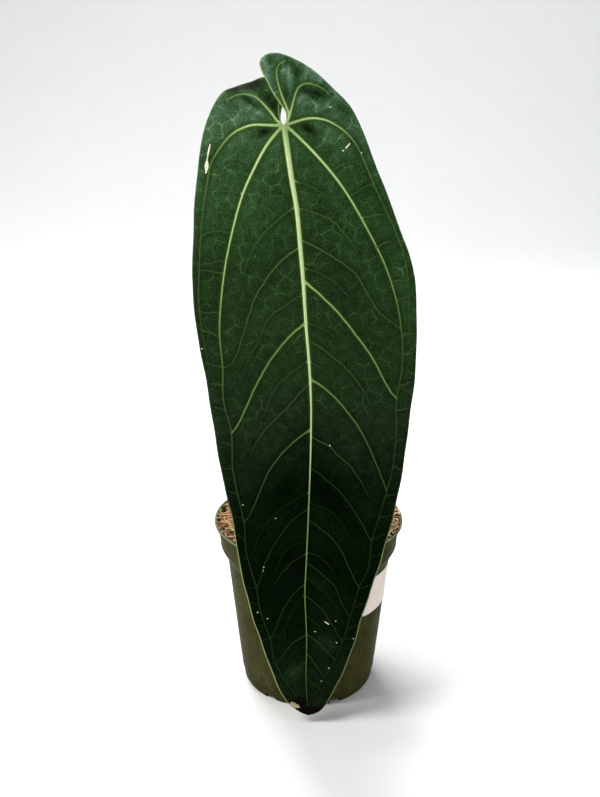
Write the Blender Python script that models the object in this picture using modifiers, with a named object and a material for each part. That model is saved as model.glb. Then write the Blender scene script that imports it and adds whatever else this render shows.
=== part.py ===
"""A queen anthurium: one long velvety leaf on its stalk, growing in a six inch nursery pot.

Metres, +Z up. The origin is the centre of the pot's base on the table. The leaf hangs on the -Y
side, with its face towards -Y. The values below are in millimetres, and MM turns them to metres.
"""
import math
import random

import bmesh
import bpy
import numpy as np
from mathutils import Matrix, Vector, geometry, noise

MM = 0.001
COLLECTION_NAME = "queen_anthurium"
SEAT_GAP = 0.3
WELD = 0.02

# The pot: a thin round nursery pot with a flared lip over a deep band.
POT_SIDES = 56
POT_HEIGHT = 144.4
WALL = 1.2
LIP_R = 76.0
LIP_DEPTH = 1.7
LIP_INNER_R = 73.6
BAND_TOP_R, BAND_TOP_Z = 72.9, 142.2
BAND_LOW_R, BAND_LOW_Z = 71.4, 123.3
WALL_TOP_R, WALL_TOP_Z = 65.9, 112.8
WALL_LOW_R, WALL_LOW_Z = 55.4, 12.4
FOOT_TOP_R, FOOT_TOP_Z = 54.5, 11.2
FOOT_LOW_R, FOOT_LOW_Z = 53.5, 3.4
BASE_R = 51.6
FLOOR_TOP_Z = 2.0
RECESS_OUTER_R, RECESS_INNER_R, RECESS_DEPTH = 42.0, 20.0, 0.8
DRAIN_COUNT = 6
DRAIN_FIRST_DEG = -125.5
DRAIN_WIDTH, DRAIN_TOP_Z, DRAIN_INNER_R = 10.0, 4.6, 45.0

# The blank sticker on the wall.
LABEL_WIDTH, LABEL_HEIGHT, LABEL_CORNER = 57.0, 33.5, 2.5
LABEL_THICKNESS, LABEL_STEP = 0.4, 5.0
LABEL_ANGLE_DEG, LABEL_Z, LABEL_TILT_DEG = -22.0, 94.7, 1.5

# The growing medium: moss fibre that fills the pot, with a plain hole for the stem.
MEDIUM_TOP_Z, MEDIUM_EDGE_Z = 141.2, 139.2
MEDIUM_GAP = 0.4
STRAND_COUNT = 88
STRAND_HALF_WIDTH = 2.4
STRAND_LOW, STRAND_HIGH = 0.9, 2.9
STRAND_INNER_R, STRAND_OUTER_R = 12.0, 67.0
STRAND_POINTS = 6
STRAND_STEP_SHORT, STRAND_STEP_LONG = 4.5, 8.5
STRAND_BEND, STRAND_WANDER = 0.4, 0.3
STRAND_SEED = 7
MOSS_FILL_STEP = 7.0

# The stem, its dry bud scale and the leaf's stalk.
STEM_R = 7.0
STEM_SIDES = 20
STEM_RINGS, STEM_RING_DEPTH = (146.0, 141.5, 137.0), 0.9
STEM_FOOT_Z, STEM_TOP_Z = 112.0, 150.0
SCALE_FOOT_Z, SCALE_TOP_Z = 142.0, 190.0
SCALE_R, SCALE_THICKNESS = 7.5, 0.8
SCALE_FACING_DEG, SCALE_WRAP_DEG = 70.0, 235.0
SCALE_ROWS, SCALE_COLUMNS = 9, 12
SCALE_BELLY, SCALE_LEAN, SCALE_NARROWING = 1.2, 2.5, 0.93
STALK_BASE_R, STALK_TOP_R = 3.6, 2.6
GENICULUM_R, GENICULUM_LENGTH, GENICULUM_END = 3.5, 24.0, 0.15
STALK_ROUTE = ((0, 0, 150.3), (0, 0, 160), (-0.5, 4, 190), (-3, 9.5, 240), (-7, 12.5, 300),
               (-11.5, 10.5, 360), (-15.2, 3.5, 405), (-17.3, -8, 436), (-17.8, -20, 449.5),
               (-17.8, -36.5, 456.55))
STALK_STEP, STALK_SIDES = 14.0, 12

# The leaf, seen from the front: x to the right and z up. HUB is where the stalk meets the blade.
HUB = (-17.8, 459.5)
TIP = (-0.5, 8.6)
MIDRIB = (HUB, (-14.9, 440.3), (-12.5, 425), (-9.1, 406), (-6.5, 380), (-4.4, 356), (-2.6, 328),
          (-0.3, 300), (1, 268), (0.2, 220), (-2.3, 148), (-3.2, 122), (-1.8, 82), (-2.1, 41), TIP)
LEFT_MARGIN = (HUB, (-19.9, 462), (-20.1, 468.3), (-18.6, 474.6), (-17.9, 482.2), (-20.7, 489.8),
               (-26.3, 493.3), (-33.2, 492.6), (-40.6, 488.6), (-50.6, 485.1), (-59.8, 481.2),
               (-66.6, 472.4), (-72.6, 458.6), (-75.3, 446.6), (-78, 426.4), (-80, 405.7),
               (-80.8, 382), (-81.6, 358.5), (-79.1, 326.4), (-73.2, 293.7), (-68.1, 260),
               (-63, 224.8), (-55.9, 187.9), (-50.9, 147.8), (-42.9, 104.3), (-33.9, 69.6),
               (-25.7, 42), (-17.2, 22.2), (-10.8, 15.2), (-5.3, 10.8), TIP)
RIGHT_MARGIN = (HUB, (-16.9, 461.6), (-16.3, 465), (-16.8, 468.5), (-21.7, 475.2), (-25.4, 480.3),
                (-29.1, 487.1), (-33.1, 494), (-34.8, 500.2), (-32.9, 503.6), (-28.6, 506),
                (-20.5, 506), (-8.8, 501.6), (3.5, 494.3), (15.3, 484), (27.5, 472.1),
                (34, 461.1), (39.2, 449.5), (45.9, 432.2), (52.8, 416.4), (63, 389.8),
                (69.3, 374), (73.2, 356), (74.4, 326.2), (73.7, 293.6), (69.9, 260.2),
                (66.2, 225.4), (60, 188.8), (51, 148.6), (40.1, 104.6), (32.6, 70.6),
                (23.5, 43.3), (14.8, 22.5), (8.9, 13.5), (4.2, 10), TIP)

# How far forward the midrib hangs at each height, and how much each half folds away from it.
ARCH = ((515, -4), (490, -22), (465, -36), (430, -51), (380, -67), (320, -80.5), (260, -88.5),
        (200, -90.5), (144, -87.5), (100, -83), (60, -79.5), (30, -79.5), (8, -76))
FOLD = ((515, 0.16), (465, 0.14), (300, 0.02), (150, -0.13), (60, -0.10), (8, -0.05))
CREASE_R = 4.0
LOBE_SPREAD, LOBE_START, CROSSED_FOLD = 0.09, 2.5, 0.3

# The blade's thickness and relief, and how finely it is faceted. Its waves and crinkles start to
# show at a free distance from the midrib.
BLADE_T, MARGIN_T = 0.9, 0.7
QUILT_DEPTH, QUILT_REACH = 0.9, 7.0
MARGIN_WAVE, MARGIN_WAVE_LENGTH, MARGIN_WAVE_REACH, MARGIN_WAVE_SHIFT = 1.2, 34.0, 14.0, 9.0
CRINKLE, CRINKLE_LENGTH = 0.35, 14.0
WAVE_FREE, CRINKLE_FREE = 30.0, 10.0
CREST_STEP, MARGIN_STEP, FILL_STEP, MARGIN_ROW, RIB_FLANK = 9.0, 9.0, 10.5, 4.0, 2.4
FLANK_CLEARANCE, FILL_CLEARANCE = 0.8, 0.55

# Each relief is the rib's half width, then how much thicker the blade is at its start and end.
MIDRIB_RELIEF = (2.8, 3.3, 0.8)
BASAL_RELIEF = (2.2, 1.9, 0.5)
ARC_RELIEF = (2.0, 1.6, 0.4)
SIDE_RELIEF = (2.0, 1.1, 0.8)
BASAL_LEFT = (HUB, (-22.2, 455.6), (-29.3, 447.3), (-36.3, 435.7), (-46.5, 414.2), (-55.4, 382.4),
              (-60.3, 355.4), (-62.7, 324.6), (-60.8, 299), (-60.5, 277), (-55.2, 252.9),
              (-54.6, 226), (-47.3, 184.5), (-46, 160), (-39.1, 129.5), (-37, 111), (-29.4, 81),
              (-26.5, 62), (-18.6, 43.2), (-9, 27))
BASAL_RIGHT = (HUB, (-12.6, 456.4), (5.8, 439), (21.6, 420.7), (35.7, 398.9), (51.7, 368.6),
               (59.9, 344.8), (64.1, 320.8), (64.5, 300), (60.9, 277.7), (61, 254.4),
               (59.5, 230.9), (55.3, 210.1), (50, 190), (45.4, 169.3), (43, 146.5),
               (36.8, 129.5), (30.9, 103.1), (25.3, 79.4), (20, 62), (11.5, 44.7), (6, 30))
ARC_LEFT = (HUB, (-34.6, 460.3), (-43.4, 458.9), (-52.2, 455.2), (-59.3, 448.5), (-65.4, 440.2),
            (-70.8, 423.7), (-73.4, 395.5), (-75.4, 363.6))
ARC_RIGHT = (HUB, (-6.5, 463), (2.3, 464.1), (12.9, 462.1), (20.8, 457.6), (28.7, 450.1),
             (38.4, 431.9), (49, 408.6), (61.4, 381))
LOBE_LEFT = (HUB, (-24, 464), (-31.6, 472.5), (-39.1, 478.3), (-46.7, 479.1), (-57.9, 474.5))
LOBE_RIGHT = (HUB, (-14.3, 466), (-12.8, 471), (-9.4, 481.9), (-2.6, 486), (7.2, 484), (13.4, 478.8))
LOBE_INNER = ((-12.8, 471), (-18.5, 480.9), (-22.2, 491), (-20.5, 498.5))

# Side veins: the height where each leaves the midrib, its turning point, and the height where it
# runs into the long vein near the margin.
SIDE_LEFT = ((379.4, (-34, 361), 300), (328.6, (-33, 305), 253), (253.4, (-27, 238.5), 184.5),
             (193.9, (-28, 177), 129.5), (129.5, (-21.5, 118), 81), (82.5, (-17, 77), 62))
SIDE_RIGHT = ((386.3, (31, 370), 330), (357.6, (37.5, 325.5), 277.7), (290.5, (39, 266.5), 210),
              (225.4, (33, 206), 169.3), (183.3, (28, 170), 129.5), (145.5, (20, 139), 103),
              (117.1, (17.6, 101.6), 79.4), (82.6, (9, 78), 62))


def clear_scene():
    """Remove what the scene holds."""
    for obj in list(bpy.data.objects):
        bpy.data.objects.remove(obj)


def new_collection(name):
    """Return a new collection in the scene."""
    collection = bpy.data.collections.new(name)
    bpy.context.scene.collection.children.link(collection)
    return collection


def make_finish(name, colour, roughness):
    """Return a Principled material of one colour."""
    finish = bpy.data.materials.new(name)
    finish.use_nodes = True
    shader = finish.node_tree.nodes["Principled BSDF"]
    shader.inputs["Base Color"].default_value = (*colour, 1.0)
    shader.inputs["Roughness"].default_value = roughness
    shader.inputs["Metallic"].default_value = 0.0
    return finish


def add_object(name, data, collection, finish=None):
    """Put a mesh or a curve in the collection as a named object."""
    obj = bpy.data.objects.new(name, data)
    collection.objects.link(obj)
    if finish:
        data.materials.append(finish)
    return obj


def smooth_path(points, step):
    """Sample a smooth curve through the points, about a step apart, with its ends kept."""
    knots = [Vector(point) for point in points]
    knots = [2 * knots[0] - knots[1], *knots, 2 * knots[-1] - knots[-2]]
    samples = []
    for before, start, end, after in zip(knots, knots[1:], knots[2:], knots[3:]):
        length = (end - start).length
        leave = (end - before) * length / ((start - before).length + length)
        arrive = (after - start) * length / ((after - end).length + length)
        count = max(1, round(length / step))
        for index in range(count):
            t = index / count
            samples.append((1 + 2 * t) * (1 - t) ** 2 * start + t * (1 - t) ** 2 * leave
                           + t * t * (3 - 2 * t) * end - t * t * (1 - t) * arrive)
    samples.append(knots[-2])
    return samples


def turned(name, profile, collection, finish, sides=POT_SIDES):
    """Return an object turned from a profile of radius and height, outer side downwards."""
    mesh = bpy.data.meshes.new(name)
    points = [(radius * MM, 0.0, height * MM) for radius, height in profile]
    edges = [(index, index + 1) for index in range(len(points) - 1)]
    mesh.from_pydata(points, edges, [])
    obj = add_object(name, mesh, collection, finish)
    screw = obj.modifiers.new("Turn", "SCREW")
    screw.steps = sides
    screw.render_steps = sides
    screw.use_merge_vertices = True
    screw.merge_threshold = 0.00001
    screw.use_smooth_shade = True
    return obj


def pot_inside():
    """Return the pot's inner wall as radius and height, from its floor up to its lip."""
    return ((BASE_R - 0.2, FLOOR_TOP_Z), (FOOT_TOP_R - WALL, FOOT_TOP_Z + 0.6),
            (WALL_LOW_R - WALL, WALL_LOW_Z + 1.2), (WALL_TOP_R - WALL, WALL_TOP_Z + 0.5),
            (BAND_LOW_R - WALL, BAND_LOW_Z + 0.5), (BAND_TOP_R - WALL, BAND_TOP_Z - 0.4))


def build_drain_cutter(cutters):
    """Return the blocks that cut the drain holes through the corner of the pot's base."""
    blocks = bmesh.new()
    reach, height = LIP_R - DRAIN_INNER_R, DRAIN_TOP_Z + 1
    size = Matrix.Diagonal((reach * MM, DRAIN_WIDTH * MM, height * MM, 1))
    middle = Vector((DRAIN_INNER_R + reach / 2, 0, DRAIN_TOP_Z - height / 2))
    for index in range(DRAIN_COUNT):
        turn = Matrix.Rotation(math.radians(DRAIN_FIRST_DEG + 360 * index / DRAIN_COUNT), 4, "Z")
        bmesh.ops.create_cube(blocks, size=1.0, matrix=turn @ Matrix.Translation(middle * MM) @ size)
    mesh = bpy.data.meshes.new("drain_cutter")
    blocks.to_mesh(mesh)
    blocks.free()
    cutter = add_object("drain_cutter", mesh, cutters)
    cutter.hide_render = True
    cutter.display_type = "WIRE"
    return cutter


def build_pot(collection, cutters, finish):
    """Turn the pot and cut its drain holes."""
    inside = ((0, FLOOR_TOP_Z), *pot_inside())
    lip = ((LIP_INNER_R, POT_HEIGHT), (LIP_R - 0.6, POT_HEIGHT), (LIP_R, POT_HEIGHT - 0.6),
           (LIP_R, POT_HEIGHT - LIP_DEPTH + 0.4), (LIP_R - 0.6, POT_HEIGHT - LIP_DEPTH))
    outside = ((BAND_TOP_R, BAND_TOP_Z), (BAND_LOW_R, BAND_LOW_Z), (WALL_TOP_R, WALL_TOP_Z),
               (WALL_LOW_R, WALL_LOW_Z), (FOOT_TOP_R, FOOT_TOP_Z), (FOOT_LOW_R, FOOT_LOW_Z))
    underside = ((BASE_R, 0), (RECESS_OUTER_R + RECESS_DEPTH, 0), (RECESS_OUTER_R, RECESS_DEPTH),
                 (RECESS_INNER_R + RECESS_DEPTH, RECESS_DEPTH), (RECESS_INNER_R, 0), (0, 0))
    pot = turned("pot", inside + lip + outside + underside, collection, finish)
    cut = pot.modifiers.new("Drain holes", "BOOLEAN")
    cut.operation = "DIFFERENCE"
    cut.solver = "EXACT"
    cut.object = build_drain_cutter(cutters)


def rounded_outline(width, height, corner, step):
    """Return the points of a rectangle with rounded corners, centred on the origin."""
    points = []
    for side, (sign_x, sign_z) in enumerate(((1, 1), (-1, 1), (-1, -1), (1, -1))):
        centre = Vector((sign_x * (width / 2 - corner), sign_z * (height / 2 - corner)))
        for turn in (0, 45, 90):
            angle = math.radians(90 * side + turn)
            points.append(centre + corner * Vector((math.cos(angle), math.sin(angle))))
    outline = []
    for start, end in zip(points, points[1:] + points[:1]):
        count = max(1, round((end - start).length / step))
        outline.extend(start.lerp(end, index / count) for index in range(count))
    return outline


def inside_outline(point, outline):
    """Say whether a point lies inside a closed outline."""
    inside = False
    for start, end in zip(outline, outline[1:] + outline[:1]):
        if (start.y > point.y) != (end.y > point.y):
            crossing = start.x + (point.y - start.y) * (end.x - start.x) / (end.y - start.y)
            inside ^= point.x < crossing
    return inside


def gap_to_line(point, line):
    """Return how far a point lies from a line of points, and how many points along it that is."""
    start, span = line[:-1], line[1:] - line[:-1]
    offset = np.array(point) - start
    t = np.clip((offset * span).sum(1) / (span * span).sum(1), 0, 1)
    gaps = np.hypot(*(offset - span * t[:, None]).T)
    closest = int(np.argmin(gaps))
    return float(gaps[closest]), closest + float(t[closest])


def add_flanks(line, width, outline, crests, spots):
    """Add spots a width to each side of a line, where they don't crowd a crest or each other."""
    clear = FLANK_CLEARANCE * width
    for before, point, after in zip(line, line[1:], line[2:]):
        along = (after - before).normalized()
        for turn in (-width, width):
            spot = point + turn * Vector((-along.y, along.x))
            free = nearest_distance(spot, crests) > clear and inside_outline(spot, outline)
            if free and all((spot - other).length > clear for other in spots):
                spots.append(spot)


def nearest_distance(point, points):
    """Return how far a point lies from the nearest of an array of points."""
    return float(np.min(np.hypot(points[:, 0] - point[0], points[:, 1] - point[1])))


def triangulate(outline, lines, spots, fill_step):
    """Split an outline into triangles whose edges follow the lines and whose corners take in
    the spots, with a grid of further points a fill step apart. Returns points and triangles."""
    points = [Vector(point) for point in outline]
    edges = [(index, (index + 1) % len(points)) for index in range(len(points))]
    for line in lines:
        edges.extend((len(points) + index, len(points) + index + 1) for index in range(len(line) - 1))
        points.extend(line)
    points.extend(spots)
    taken = np.array([tuple(point) for point in points])
    low, high = taken.min(axis=0), taken.max(axis=0)
    row_step = fill_step * math.sqrt(3) / 2
    for row, height in enumerate(np.arange(low[1], high[1], row_step)):
        for across in np.arange(low[0] + fill_step / 2 * (row % 2), high[0], fill_step):
            point = Vector((across, height))
            free = nearest_distance(point, taken) > FILL_CLEARANCE * fill_step
            if free and inside_outline(point, outline):
                points.append(point)
    result = geometry.delaunay_2d_cdt(points, edges, [], 1, 0.001)
    return result[0], result[2]


def sheet_object(name, patches, place, collection, finish, offset):
    """Build an open sheet from flat patches of points and triangles, put in space by place,
    which returns a point and a thickness, and give it that thickness with Solidify."""
    sheet = bmesh.new()
    layer = sheet.verts.layers.float.new("thickness")
    for side, (points, triangles) in patches:
        verts = []
        for point in points:
            where, thickness = place(point.x, point.y, side)
            vert = sheet.verts.new(Vector(where) * MM)
            vert[layer] = thickness
            verts.append(vert)
        for triangle in triangles:
            sheet.faces.new([verts[index] for index in triangle])
    bmesh.ops.remove_doubles(sheet, verts=sheet.verts, dist=WELD * MM)
    values = [vert[layer] for vert in sheet.verts]
    mesh = bpy.data.meshes.new(name)
    sheet.to_mesh(mesh)
    sheet.free()
    obj = add_object(name, mesh, collection, finish)
    thickest = max(values)
    group = obj.vertex_groups.new(name="thickness")
    for index, value in enumerate(values):
        group.add([index], value / thickest, "REPLACE")
    solidify = obj.modifiers.new("Thickness", "SOLIDIFY")
    solidify.thickness = thickest * MM
    solidify.vertex_group = group.name
    solidify.offset = offset


def build_label(collection, finish):
    """Lay the blank sticker on the pot's wall, a hair's breadth clear of it."""
    slope = (WALL_TOP_R - WALL_LOW_R) / (WALL_TOP_Z - WALL_LOW_Z)
    middle_r = WALL_LOW_R + slope * (LABEL_Z - WALL_LOW_Z)
    tilt = Matrix.Rotation(math.radians(-LABEL_TILT_DEG), 2)

    def on_wall(across, up, _side):
        across, up = tilt @ Vector((across, up))
        angle = math.radians(LABEL_ANGLE_DEG) + across / middle_r
        radius = middle_r + slope * up + SEAT_GAP
        where = (radius * math.cos(angle), radius * math.sin(angle), LABEL_Z + up)
        return where, LABEL_THICKNESS

    outline = rounded_outline(LABEL_WIDTH, LABEL_HEIGHT, LABEL_CORNER, LABEL_STEP)
    patch = triangulate(outline, [], [], LABEL_STEP * 1.6)
    sheet_object("pot_label", [(1, patch)], on_wall, collection, finish, 1.0)


def strand_line(rng):
    """Return the flat course of one strand of fibre that winds across the medium."""
    radius = math.sqrt(rng.uniform(STRAND_INNER_R ** 2, STRAND_OUTER_R ** 2))
    angle, heading = rng.uniform(0, math.tau), rng.uniform(0, math.tau)
    step = rng.uniform(STRAND_STEP_SHORT, STRAND_STEP_LONG)
    bend = rng.uniform(-STRAND_BEND, STRAND_BEND)
    point = Vector((radius * math.cos(angle), radius * math.sin(angle)))
    line = []
    for _ in range(STRAND_POINTS):
        reach = min(max(point.length, STRAND_INNER_R), STRAND_OUTER_R)
        point = point.normalized() * reach
        line.append(point)
        heading += bend + rng.uniform(-STRAND_WANDER, STRAND_WANDER)
        point = point + step * Vector((math.cos(heading), math.sin(heading)))
    return line


def tube_object(name, route, radii, sides, collection, finish):
    """Add a curve object: a round tube through the route, with a radius at each point."""
    curve = bpy.data.curves.new(name, "CURVE")
    curve.dimensions = "3D"
    curve.bevel_depth = MM
    curve.bevel_resolution = (sides - 4) // 2
    curve.use_fill_caps = True
    spline = curve.splines.new("POLY")
    spline.points.add(len(route) - 1)
    for point, where, radius in zip(spline.points, route, radii):
        point.co = (*where, 1.0)
        point.radius = radius
    add_object(name, curve, collection, finish)


def ring(radius, sides):
    """Return the points of a flat ring."""
    angles = [math.tau * index / sides for index in range(sides)]
    return [Vector((radius * math.cos(angle), radius * math.sin(angle))) for angle in angles]


def close_below(solid, top_r, rings):
    """Run a wall down from a round border of the solid, through rings of radius and height, and
    close it with a flat foot."""
    border = [edge for edge in solid.edges
              if edge.is_boundary and abs(edge.verts[0].co.xy.length - top_r * MM) < WELD * MM]
    for radius, height in rings:
        made = bmesh.ops.extrude_edge_only(solid, edges=border)["geom"]
        verts = {item for item in made if isinstance(item, bmesh.types.BMVert)}
        for vert in verts:
            flat = vert.co.xy.normalized() * radius
            vert.co = Vector((flat.x, flat.y, height)) * MM
        border = [edge for edge in solid.edges
                  if edge.is_boundary and verts.issuperset(edge.verts)]
    bmesh.ops.contextual_create(solid, geom=border)


def build_medium(collection, finish):
    """Build the block of moss that fills the pot, its top raised in winding strands of fibre."""
    rng = random.Random(STRAND_SEED)
    strands = [(strand_line(rng), rng.uniform(STRAND_LOW, STRAND_HIGH)) for _ in range(STRAND_COUNT)]
    arrays = [(np.array([tuple(point) for point in line]), level) for line, level in strands]
    rise = (MEDIUM_EDGE_Z - BAND_LOW_Z) / (BAND_TOP_Z - BAND_LOW_Z)
    edge_r = BAND_LOW_R - WALL + (BAND_TOP_R - BAND_LOW_R) * rise - MEDIUM_GAP
    hole_r = STEM_R + SEAT_GAP

    def on_top(across, along):
        reach = math.hypot(across, along) / edge_r
        relief = 0.0
        for line, level in arrays:
            gap, spot = gap_to_line((across, along), line)
            if gap < STRAND_HALF_WIDTH:
                taper = math.sin(math.pi * spot / (STRAND_POINTS - 1)) ** 0.5
                relief = max(relief, level * taper * (1 - (gap / STRAND_HALF_WIDTH) ** 2))
        height = MEDIUM_TOP_Z + (MEDIUM_EDGE_Z - MEDIUM_TOP_Z) * reach ** 3
        return Vector((across, along, height + relief)) * MM

    rim, hole = ring(edge_r, POT_SIDES), ring(hole_r, STEM_SIDES)
    lines = [line for line, _ in strands]
    crests = np.concatenate([line for line, _ in arrays])
    spots = []
    for line in lines:
        add_flanks(line, STRAND_HALF_WIDTH, rim, crests, spots)
    points, triangles = triangulate(rim, [hole + hole[:1], *lines], spots, MOSS_FILL_STEP)

    block = bmesh.new()
    verts = [block.verts.new(on_top(point.x, point.y)) for point in points]
    for triangle in triangles:
        centre = sum((points[index] for index in triangle), Vector((0, 0))) / 3
        if centre.length > hole_r:
            block.faces.new([verts[index] for index in triangle])
    bmesh.ops.delete(block, geom=[vert for vert in verts if not vert.link_faces], context="VERTS")
    walls = [(radius - MEDIUM_GAP, height) for radius, height in reversed(pot_inside()[:-1])]
    walls[-1] = (walls[-1][0], FLOOR_TOP_Z + SEAT_GAP)
    close_below(block, edge_r, walls)
    close_below(block, hole_r, [(hole_r, STEM_FOOT_Z - SEAT_GAP)])
    bmesh.ops.recalc_face_normals(block, faces=block.faces)
    mesh = bpy.data.meshes.new("growing_medium")
    block.to_mesh(mesh)
    block.free()
    add_object("growing_medium", mesh, collection, finish)


def build_stem(collection, finish):
    """Turn the short stem, ringed where older leaves have fallen."""
    rings = []
    groove_r = STEM_R - STEM_RING_DEPTH
    for ring_z in STEM_RINGS:
        rings.extend(((groove_r, ring_z + 1.2), (STEM_R, ring_z), (groove_r, ring_z - 1.0)))
    shaft = ((STEM_R, 134), (STEM_R, STEM_FOOT_Z), (0, STEM_FOOT_Z))
    crown = ((0, STEM_TOP_Z), (STALK_BASE_R + 1.6, STEM_TOP_Z), (STEM_R - 1.2, STEM_TOP_Z - 1.2))
    turned("stem", (*crown, *rings, *shaft), collection, finish, STEM_SIDES)


def build_bud_scale(collection, finish):
    """Wrap the dry, pointed bud scale round the stem and the foot of the stalk."""
    half = math.radians(SCALE_WRAP_DEG) / 2
    height = SCALE_TOP_Z - SCALE_FOOT_Z
    sheath = bmesh.new()
    grid = []
    for row in range(SCALE_ROWS):
        up = row / (SCALE_ROWS - 1)
        spread = half * (1 - SCALE_NARROWING * up ** 1.7)
        radius = SCALE_R + SCALE_BELLY * math.sin(math.pi * up) + SCALE_LEAN * up ** 3
        verts = []
        for column in range(SCALE_COLUMNS):
            turn = spread * (2 * column / (SCALE_COLUMNS - 1) - 1)
            angle = math.radians(SCALE_FACING_DEG) + turn
            where = (radius * math.cos(angle), radius * math.sin(angle), SCALE_FOOT_Z + height * up)
            verts.append(sheath.verts.new(Vector(where) * MM))
        grid.append(verts)
    for low, high in zip(grid, grid[1:]):
        for column in range(SCALE_COLUMNS - 1):
            sheath.faces.new((low[column], low[column + 1], high[column + 1], high[column]))
    bmesh.ops.triangulate(sheath, faces=sheath.faces)
    mesh = bpy.data.meshes.new("bud_scale")
    sheath.to_mesh(mesh)
    sheath.free()
    scale = add_object("bud_scale", mesh, collection, finish)
    solidify = scale.modifiers.new("Thickness", "SOLIDIFY")
    solidify.thickness = SCALE_THICKNESS * MM
    solidify.offset = 1.0


def build_stalk(collection, finish):
    """Run the stalk from the stem up behind the blade, swollen where it bends to the hub."""
    route = smooth_path(STALK_ROUTE, STALK_STEP)
    lengths = [0.0]
    for start, end in zip(route, route[1:]):
        lengths.append(lengths[-1] + (end - start).length)
    radii = []
    for length in lengths:
        radius = STALK_BASE_R + (STALK_TOP_R - STALK_BASE_R) * length / lengths[-1]
        left = (lengths[-1] - length) / GENICULUM_LENGTH
        if left < 1:
            swell = math.sin(math.pi * (GENICULUM_END + (1 - GENICULUM_END) * left))
            radius += (GENICULUM_R - STALK_TOP_R) * swell
        radii.append(radius)
    tube_object("leaf_stalk", [point * MM for point in route], radii, STALK_SIDES, collection, finish)


class Blade:
    """The leaf's blade: two halves that share the midrib, each with its own lobe."""

    def __init__(self):
        """Sample the midrib, the margins and the veins, and work out the arch of the blade."""
        self.heights = np.arange(0.0, 520.0, 2.0)
        self.arch = self.averaged(ARCH, 18.0)
        self.fold = self.averaged(FOLD, 18.0)
        self.midrib = smooth_path(MIDRIB, CREST_STEP)
        descending = self.midrib[::-1]
        self.midrib_z = np.array([point.y for point in descending])
        self.midrib_x = np.array([point.x for point in descending])
        self.ribs = []
        self.halves = {-1: [], 1: []}
        self.add_rib(0, self.midrib, MIDRIB_RELIEF)
        for side, basal, laterals in ((-1, BASAL_LEFT, SIDE_LEFT), (1, BASAL_RIGHT, SIDE_RIGHT)):
            basal_line = smooth_path(basal, CREST_STEP)
            self.add_rib(side, basal_line, BASAL_RELIEF)
            for start_z, bend, end_z in laterals:
                start = min(self.midrib[2:-2], key=lambda point: abs(point.y - start_z))
                end = min(basal_line[6:-1], key=lambda point: abs(point.y - end_z))
                self.add_rib(side, self.bowed(start, Vector(bend), end), SIDE_RELIEF)
        self.add_rib(-1, smooth_path(ARC_LEFT, CREST_STEP), ARC_RELIEF)
        self.add_rib(1, smooth_path(ARC_RIGHT, CREST_STEP), ARC_RELIEF)
        self.add_rib(-1, smooth_path(LOBE_LEFT, CREST_STEP), ARC_RELIEF)
        self.add_rib(1, smooth_path(LOBE_RIGHT, CREST_STEP), ARC_RELIEF)
        self.add_rib(1, smooth_path(LOBE_INNER, CREST_STEP), SIDE_RELIEF)
        self.margins = {side: smooth_path(margin, MARGIN_STEP)
                        for side, margin in ((-1, LEFT_MARGIN), (1, RIGHT_MARGIN))}
        self.edges = {side: self.as_array(margin) for side, margin in self.margins.items()}

    def averaged(self, table, reach):
        """Read a table of height and value at every height, rounded off over a reach."""
        rows = sorted(table)
        shifts = np.linspace(-reach, reach, 9)
        reads = [np.interp(self.heights + shift, [row[0] for row in rows], [row[1] for row in rows])
                 for shift in shifts]
        return np.mean(reads, axis=0)

    @staticmethod
    def as_array(points):
        """Return a list of points as an array."""
        return np.array([tuple(point) for point in points])

    @staticmethod
    def bowed(start, bend, end):
        """Return a side vein: a curve from start to end that is drawn towards its bend."""
        count = max(2, round((end - start).length / CREST_STEP))
        steps = [index / count for index in range(count + 1)]
        return [(1 - t) ** 2 * start + 2 * t * (1 - t) * bend + t * t * end for t in steps]

    def add_rib(self, side, line, relief):
        """Keep a rib, with its points, its half width and its crest at each point."""
        half_width, first, last = relief
        crests = np.linspace(first, last, len(line))
        self.ribs.append((side, self.as_array(line), half_width, crests))
        if side:
            self.halves[side].append(line)

    def rib_at(self, across, up, side):
        """Return how much the ribs thicken the blade at a point, and how near the closest is."""
        thickest, nearest = 0.0, 1000.0
        for rib_side, line, half_width, crests in self.ribs:
            if rib_side == -side:
                continue
            gap, spot = gap_to_line((across, up), line)
            nearest = min(nearest, gap)
            if gap < half_width:
                crest = float(np.interp(spot, range(len(crests)), crests))
                thickest = max(thickest, crest * (1 - gap / half_width))
        return thickest, nearest

    def place(self, across, up, side):
        """Return where a point of the front view lies in space, and the blade's thickness there."""
        arch = float(np.interp(up, self.heights, self.arch))
        fold = float(np.interp(up, self.heights, self.fold))
        away = side * (across - float(np.interp(up, self.midrib_z, self.midrib_x)))
        bend = math.hypot(away, CREASE_R) - CREASE_R
        if away < 0:
            bend *= CROSSED_FOLD
        lobe = max(0.0, up - HUB[1] + LOBE_START)
        relief, vein_gap = self.rib_at(across, up, side)
        edge_gap = nearest_distance((across, up), self.edges[side])
        inward = min(1.0, edge_gap / QUILT_REACH) * min(1.0, abs(away) / QUILT_REACH)
        quilt = QUILT_DEPTH * (1 - math.exp(-(vein_gap / QUILT_REACH) ** 2)) * inward
        edge = math.exp(-(edge_gap / MARGIN_WAVE_REACH) ** 2) * min(1.0, abs(away) / WAVE_FREE)
        turns = (up + MARGIN_WAVE_SHIFT * side) / MARGIN_WAVE_LENGTH
        wave = MARGIN_WAVE * edge * math.sin(math.tau * turns)
        crinkle = CRINKLE * noise.noise(Vector((across, up, 40 * side)) / CRINKLE_LENGTH)
        crinkle *= min(1.0, abs(away) / CRINKLE_FREE)
        depth = arch + fold * bend - side * LOBE_SPREAD * lobe - quilt + wave + crinkle
        body = MARGIN_T + (BLADE_T - MARGIN_T) * min(1.0, edge_gap / MARGIN_ROW)
        return (across, depth, up), body + relief

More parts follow.
